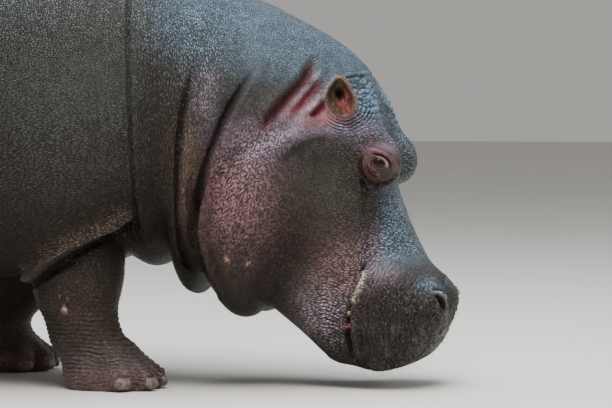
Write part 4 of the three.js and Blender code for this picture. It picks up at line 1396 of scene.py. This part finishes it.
def tooth_material():
    """Stained ivory."""
    n = Nodes("tooth")
    stain = n.noise(n.place, 160.0, 4.0)
    ivory = n.mix(n.ramp(stain, 0.35, 0.65), srgb(206, 164, 124), srgb(150, 106, 72))
    return n.set(Base_Color=ivory, Roughness=0.3, Normal=n.bump(stain, 0.0005))


def bristle_material(name, pale, dark):
    n = Nodes(name)
    shade = n.ramp(n.noise(n.place, 240.0, 2.0), 0.35, 0.65)
    return n.set(Base_Color=n.mix(shade, srgb(*pale), srgb(*dark)), Roughness=0.45)


def floor_material():
    n = Nodes("floor")
    pale = n.mix(n.noise(n.place, 1.4), srgb(206, 204, 200), srgb(214, 212, 208))
    return n.set(Base_Color=pale, Roughness=0.8, Normal=n.bump(n.noise(n.place, 60.0), 0.0005))


# ------------------------------------------------------- eyes, nails and teeth


def add_piece(name, mesh, material, slot, *replaced):
    """A piece of the animal from a mesh, standing for some nodes of the frame."""
    piece = bpy.data.objects.new(name, mesh)
    bpy.context.scene.collection.objects.link(piece)
    mesh.materials.append(material)
    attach(piece, "root")
    if replaced:
        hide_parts(*replaced)
    return piece


def ball(name, across, down, shape):
    """A closed ball whose points, on a unit sphere, are placed by a function."""
    work = bmesh.new()
    bmesh.ops.create_uvsphere(work, u_segments=across, v_segments=down, radius=1.0)
    mesh = bpy.data.meshes.new(name)
    work.to_mesh(mesh)
    work.free()
    unit_points = mesh_points(mesh).astype(float)
    move_points(mesh, shape(unit_points))
    shade_smooth(mesh)
    return mesh, unit_points


def make_eyes(material):
    """Eyeballs with a raised cornea over the iris, whose pole is the way they look."""
    for name, side in (("eye_l", 1), ("eye_r", -1)):
        look = unit(0.30, side, -0.02)
        ahead = unit(1.0, -0.30 * side, 0.0)
        axes = np.array((ahead, np.cross(look, ahead), look))
        centre = EYE * (1, side, 1) + ORIGIN

        def shape(u, axes=axes, centre=centre):
            off = np.arccos(np.clip(u[:, 2], -1, 1))
            radius = EYE_RADIUS + 0.0011 * ramp(0.72 - off, 0.0, 0.25)
            return centre + (u * radius[:, None]) @ axes
        mesh, u = ball(f"{name}_ball", 64, 40, shape)
        off = np.arccos(np.clip(u[:, 2], -1, 1))
        add_attribute(mesh, "iris", ramp(0.86 - off, 0.0, 0.10))
        slit = np.hypot(u[:, 0] / 0.26, u[:, 1] / 0.12)
        add_attribute(mesh, "pupil", ramp(1.1 - slit, 0, 0.2) * (u[:, 2] > 0))
        add_piece(f"{name}_ball", mesh, material, "eye", name)


def make_nails(material):
    """A worn nail on every toe, square in outline and flat below."""
    for leg_name, leg in LEGS.items():
        for number, turn in enumerate(TOE_TURNS, 1):
            centre = nail_centre(leg, turn)
            heading = Matrix.Rotation(math.radians(leg["turn"] + turn), 3, "Z")
            axes = np.array(heading @ Matrix.Rotation(math.radians(-15), 3, "Y"))

            def shape(u, axes=axes, centre=centre):
                worn = u.copy()
                worn[:, 2] = np.where(u[:, 2] > 0, u[:, 2], 0.9 * u[:, 2])
                worn = np.sign(worn) * np.abs(worn) ** 0.85
                out = (worn * NAIL_RADII) @ axes.T + centre + ORIGIN
                out[:, 2] = np.maximum(out[:, 2], 0.004)
                return out
            node = f"nail_{leg_name}_{number}"
            mesh, _ = ball(f"{node}_horn", 24, 16, shape)
            add_piece(f"{node}_horn", mesh, material, "nail", node)


def make_tusk_tips(material):
    """The worn tips of the lower tusks, just showing where the lips part."""
    for name, side in (("tusk_tip_l", 1), ("tusk_tip_r", -1)):
        centre = np.array((1.024, 0.156 * side, 0.196)) + ORIGIN

        def shape(u, centre=centre):
            return centre + u * (0.0095, 0.010, 0.0070) * (1 - 0.2 * u[:, 2:3])
        mesh, _ = ball(name, 20, 14, shape)
        add_piece(name, mesh, material, "nail")


# ---------------------------------------------------------------------- bristles

BRISTLE_DROOP = np.array((0, 0, -0.12))     # how far its tip sinks, as a share of its length
BRISTLE_FACES = ((0, 1, 4), (0, 4, 3), (1, 2, 5), (1, 5, 4), (2, 0, 3), (2, 3, 5),
                 (3, 4, 6), (4, 5, 6), (5, 3, 6), (2, 1, 0))
BRISTLE_SPOTS = ((0, 0), (1, 0), (0.5, 1), (0, 0.5), (1, 0.5), (0.5, 0.8), (0.5, 0.5))
SPOT_SIZE = 0.003             # of a bristle's patch on the bake map


def bristle_mesh(name, roots, tips, radius, places):
    """Thin bent three-sided bristles as one mesh, with each one's patch on the bake map."""
    count = len(roots)
    along = tips - roots
    length = np.linalg.norm(along, axis=1)[:, None]
    across = np.cross(along, np.array((0.31, 0.52, 0.79)))
    across /= np.linalg.norm(across, axis=1)[:, None]
    other = np.cross(along, across)
    other /= np.linalg.norm(other, axis=1)[:, None]
    rings = []
    for share, thick in ((0.0, 1.0), (0.55, 0.75)):
        middle = roots + along * share + BRISTLE_DROOP * share ** 2 * length
        for corner in range(3):
            angle = 2 * math.pi * corner / 3
            rings.append(middle + radius * thick * (math.cos(angle) * across + math.sin(angle) * other))
    rings.append(tips + BRISTLE_DROOP * length)
    points = np.stack(rings, 1).reshape(-1, 3)
    first = len(BRISTLE_SPOTS) * np.arange(count)[:, None, None]
    faces = (np.array(BRISTLE_FACES)[None] + first).reshape(-1, 3)
    mesh = mesh_from(name, points, faces)
    spots = np.array(BRISTLE_SPOTS) * SPOT_SIZE
    on_map = (places[:, None] + spots[None]).reshape(-1, 2)
    layer = mesh.uv_layers.new(name="OFBake")
    layer.data.foreach_set("uv", on_map[faces.ravel()].astype(np.float32).ravel())
    return mesh


def map_places(roots):
    """Places on a map of the hide unrolled round the body's length, from nose to tail."""
    along = (roots[:, 0] - FIELD_LOW[0]) / (FIELD_HIGH[0] - FIELD_LOW[0])
    around = 0.5 + np.arctan2(roots[:, 1], roots[:, 2] - 0.60) / (2.05 * math.pi)
    return np.stack((along, around), 1) * 0.98


def make_ear_fringe(material):
    """Short pale hairs round each ear's rim."""
    rng = np.random.default_rng(7)
    count = 260
    forward, outward, upward = ear_axes()
    for name, side in (("ear_l_fringe", 1), ("ear_r_fringe", -1)):
        angle = rng.uniform(math.radians(-30), math.radians(250), count)
        radial = np.cos(angle)[:, None] * forward + np.sin(angle)[:, None] * upward
        ahead = 0.0385 * np.cos(angle) * ear_narrowing(0.052 * np.sin(angle))
        above = 0.052 * np.sin(angle) - EAR_SKEW * ahead
        spread = 1 + rng.normal(0, 0.02, count)[:, None]
        root = EAR + spread * (ahead[:, None] * forward + above[:, None] * upward)
        root = root + outward * rng.uniform(0.000, 0.013, count)[:, None]
        lean = radial + outward * rng.normal(0.15, 0.20, count)[:, None] + rng.normal(0, 0.16, (count, 3))
        lean /= np.linalg.norm(lean, axis=1)[:, None]
        tip = root + lean * rng.uniform(0.005, 0.012, count)[:, None]
        flip = np.array((1, side, 1))
        ends_of_hairs = (root * flip + ORIGIN, tip * flip + ORIGIN)
        mesh = bristle_mesh(name, *ends_of_hairs, 0.00024, map_places(root * flip))
        add_piece(name, mesh, material, "bare_skin")


def grow_bristles(skin, area, chance, count, length, lean, radius, colours, seed):
    """Scattered bristles that stand on the skin where a test gives them a chance."""
    rng = np.random.default_rng(seed)
    points = mesh_points(skin.data).astype(float) - ORIGIN
    normals = mesh_normals(skin.data).astype(float)
    likely = chance(points)
    chosen = rng.choice(len(points), count, p=likely / likely.sum())
    root = points[chosen] - 0.001 * normals[chosen] + rng.normal(0, 0.0015, (count, 3))
    way = normals[chosen] + np.array(lean) + rng.normal(0, 0.22, (count, 3))
    way /= np.linalg.norm(way, axis=1)[:, None]
    tip = root + way * rng.uniform(*length, count)[:, None]
    mesh = bristle_mesh(f"{area}_bristles", root + ORIGIN, tip + ORIGIN, radius, map_places(root))
    add_piece(f"{area}_bristles", mesh, bristle_material(f"{area}_bristle", *colours), "hide")


def on_nape(p):
    x, y, z = p.T
    return ramp(0.10 - np.abs(y), 0, 0.08) * ramp(x, 0.60, 0.75) * ramp(1.09 - x, 0, 0.03) * (z > 0.70)


def on_muzzle(p):
    q = mirror_left(p)
    lips = ramp(p[:, 0], 1.06, 1.12) * ramp(0.26 - p[:, 2], 0, 0.06) * (q[:, 1] > 0.02)
    chin = 0.3 * patch(q, (1.00, 0.08, 0.09), (0.05, 0.08, 0.05))
    return lips * ramp(-nostril_shape(q)[0], 0.010, 0.016) + chin


def on_tail_tip(p):
    return (p[:, 0] < -1.262) * ramp(0.77 - p[:, 2], 0, 0.08) * (p[:, 2] > 0.60)

# Where bristles grow, how many, their shortest and longest, how they lean, their radius,
# their pale and dark colours, and the seed they are scattered with.
BRISTLES = (
    ("nape", on_nape, 150, (0.005, 0.010), (-0.2, 0, 0.2), 0.00025, ((176, 144, 104), (100, 78, 58)), 17),
    ("muzzle", on_muzzle, 320, (0.006, 0.016), (0.1, 0, -0.3), 0.0004, ((196, 178, 150), (96, 80, 66)), 18),
    ("tail", on_tail_tip, 420, (0.025, 0.055), (-0.1, 0, -1.6), 0.0006, ((60, 48, 42), (30, 24, 22)), 19),
)


# ------------------------------------------------------------- camera and light

CAMERA_TURN = 12.0            # degrees toward the animal's front from square on
CAMERA_RISE = 2.2             # degrees above level
CAMERA_DISTANCE = 9.0
CAMERA_TARGET = np.array((0.880, 0.0, 0.4615))
VIEW_WIDTH = 612 / 390        # metres across the picture at the target

# Square lamps: where each is, how many metres across, its watts and its colour.
LAMPS = {
    "key": ((1.6, -3.2, 5.6), 3.5, 520, (1.0, 0.97, 0.93)),
    "sky": ((0.0, 0.6, 6.0), 5.0, 520, (0.86, 0.94, 1.0)),
    "fill": ((11.0, 2.0, 5.0), 6.0, 420, (1.0, 0.97, 0.94)),
}
LAMP_TARGET = (0.2, 0, 0.6)
WORLD_COLOUR = (0.86, 0.84, 0.80, 1)
WORLD_STRENGTH = 0.48
FLOOR_CORNERS = ((-30, -30, 0), (30, -30, 0), (30, 30, 0), (-30, 30, 0))


def aim(thing, target):
    """Turns a camera or lamp, which look along their own -z, toward a point."""
    back = thing.location - Vector(target)
    thing.rotation_euler = back.to_track_quat("Z", "Y").to_euler()


def make_camera():
    turn, rise = math.radians(CAMERA_TURN), math.radians(CAMERA_RISE)
    back = np.array((math.sin(turn) * math.cos(rise), -math.cos(turn) * math.cos(rise), math.sin(rise)))
    data = bpy.data.cameras.new("camera")
    data.sensor_width = 36.0
    data.lens = data.sensor_width * CAMERA_DISTANCE / VIEW_WIDTH
    camera = bpy.data.objects.new("camera", data)
    bpy.context.scene.collection.objects.link(camera)
    target = CAMERA_TARGET + ORIGIN
    camera.location = target + back * CAMERA_DISTANCE
    aim(camera, target)
    bpy.context.scene.camera = camera


def make_light():
    for name, (place, size, watts, colour) in LAMPS.items():
        data = bpy.data.lights.new(name, "AREA")
        data.shape = "SQUARE"
        data.size = size
        data.energy = watts
        data.color = colour
        lamp = bpy.data.objects.new(name, data)
        bpy.context.scene.collection.objects.link(lamp)
        lamp.location = place
        aim(lamp, LAMP_TARGET)
    world = bpy.data.worlds.new("studio")
    world.use_nodes = True
    background = world.node_tree.nodes["Background"]
    background.inputs["Color"].default_value = WORLD_COLOUR
    background.inputs["Strength"].default_value = WORLD_STRENGTH
    bpy.context.scene.world = world


def make_floor():
    mesh = mesh_from("floor", np.array(FLOOR_CORNERS), np.array([(0, 1, 2, 3)]))
    floor = bpy.data.objects.new("floor", mesh)
    mesh.materials.append(floor_material())
    bpy.context.scene.collection.objects.link(floor)


# ------------------------------------------------------------------- the scene

flesh = [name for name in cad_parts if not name.startswith(("eye", "nail"))]
skin = add_piece("skin", make_skin(), hide_material(), "hide", *flesh)
make_eyes(eye_material())
make_nails(nail_material())
make_tusk_tips(tooth_material())
make_ear_fringe(bristle_material("ear_bristle", (224, 186, 154), (164, 120, 94)))
for row in BRISTLES:
    grow_bristles(skin, *row)
make_camera()
make_light()
make_floor()
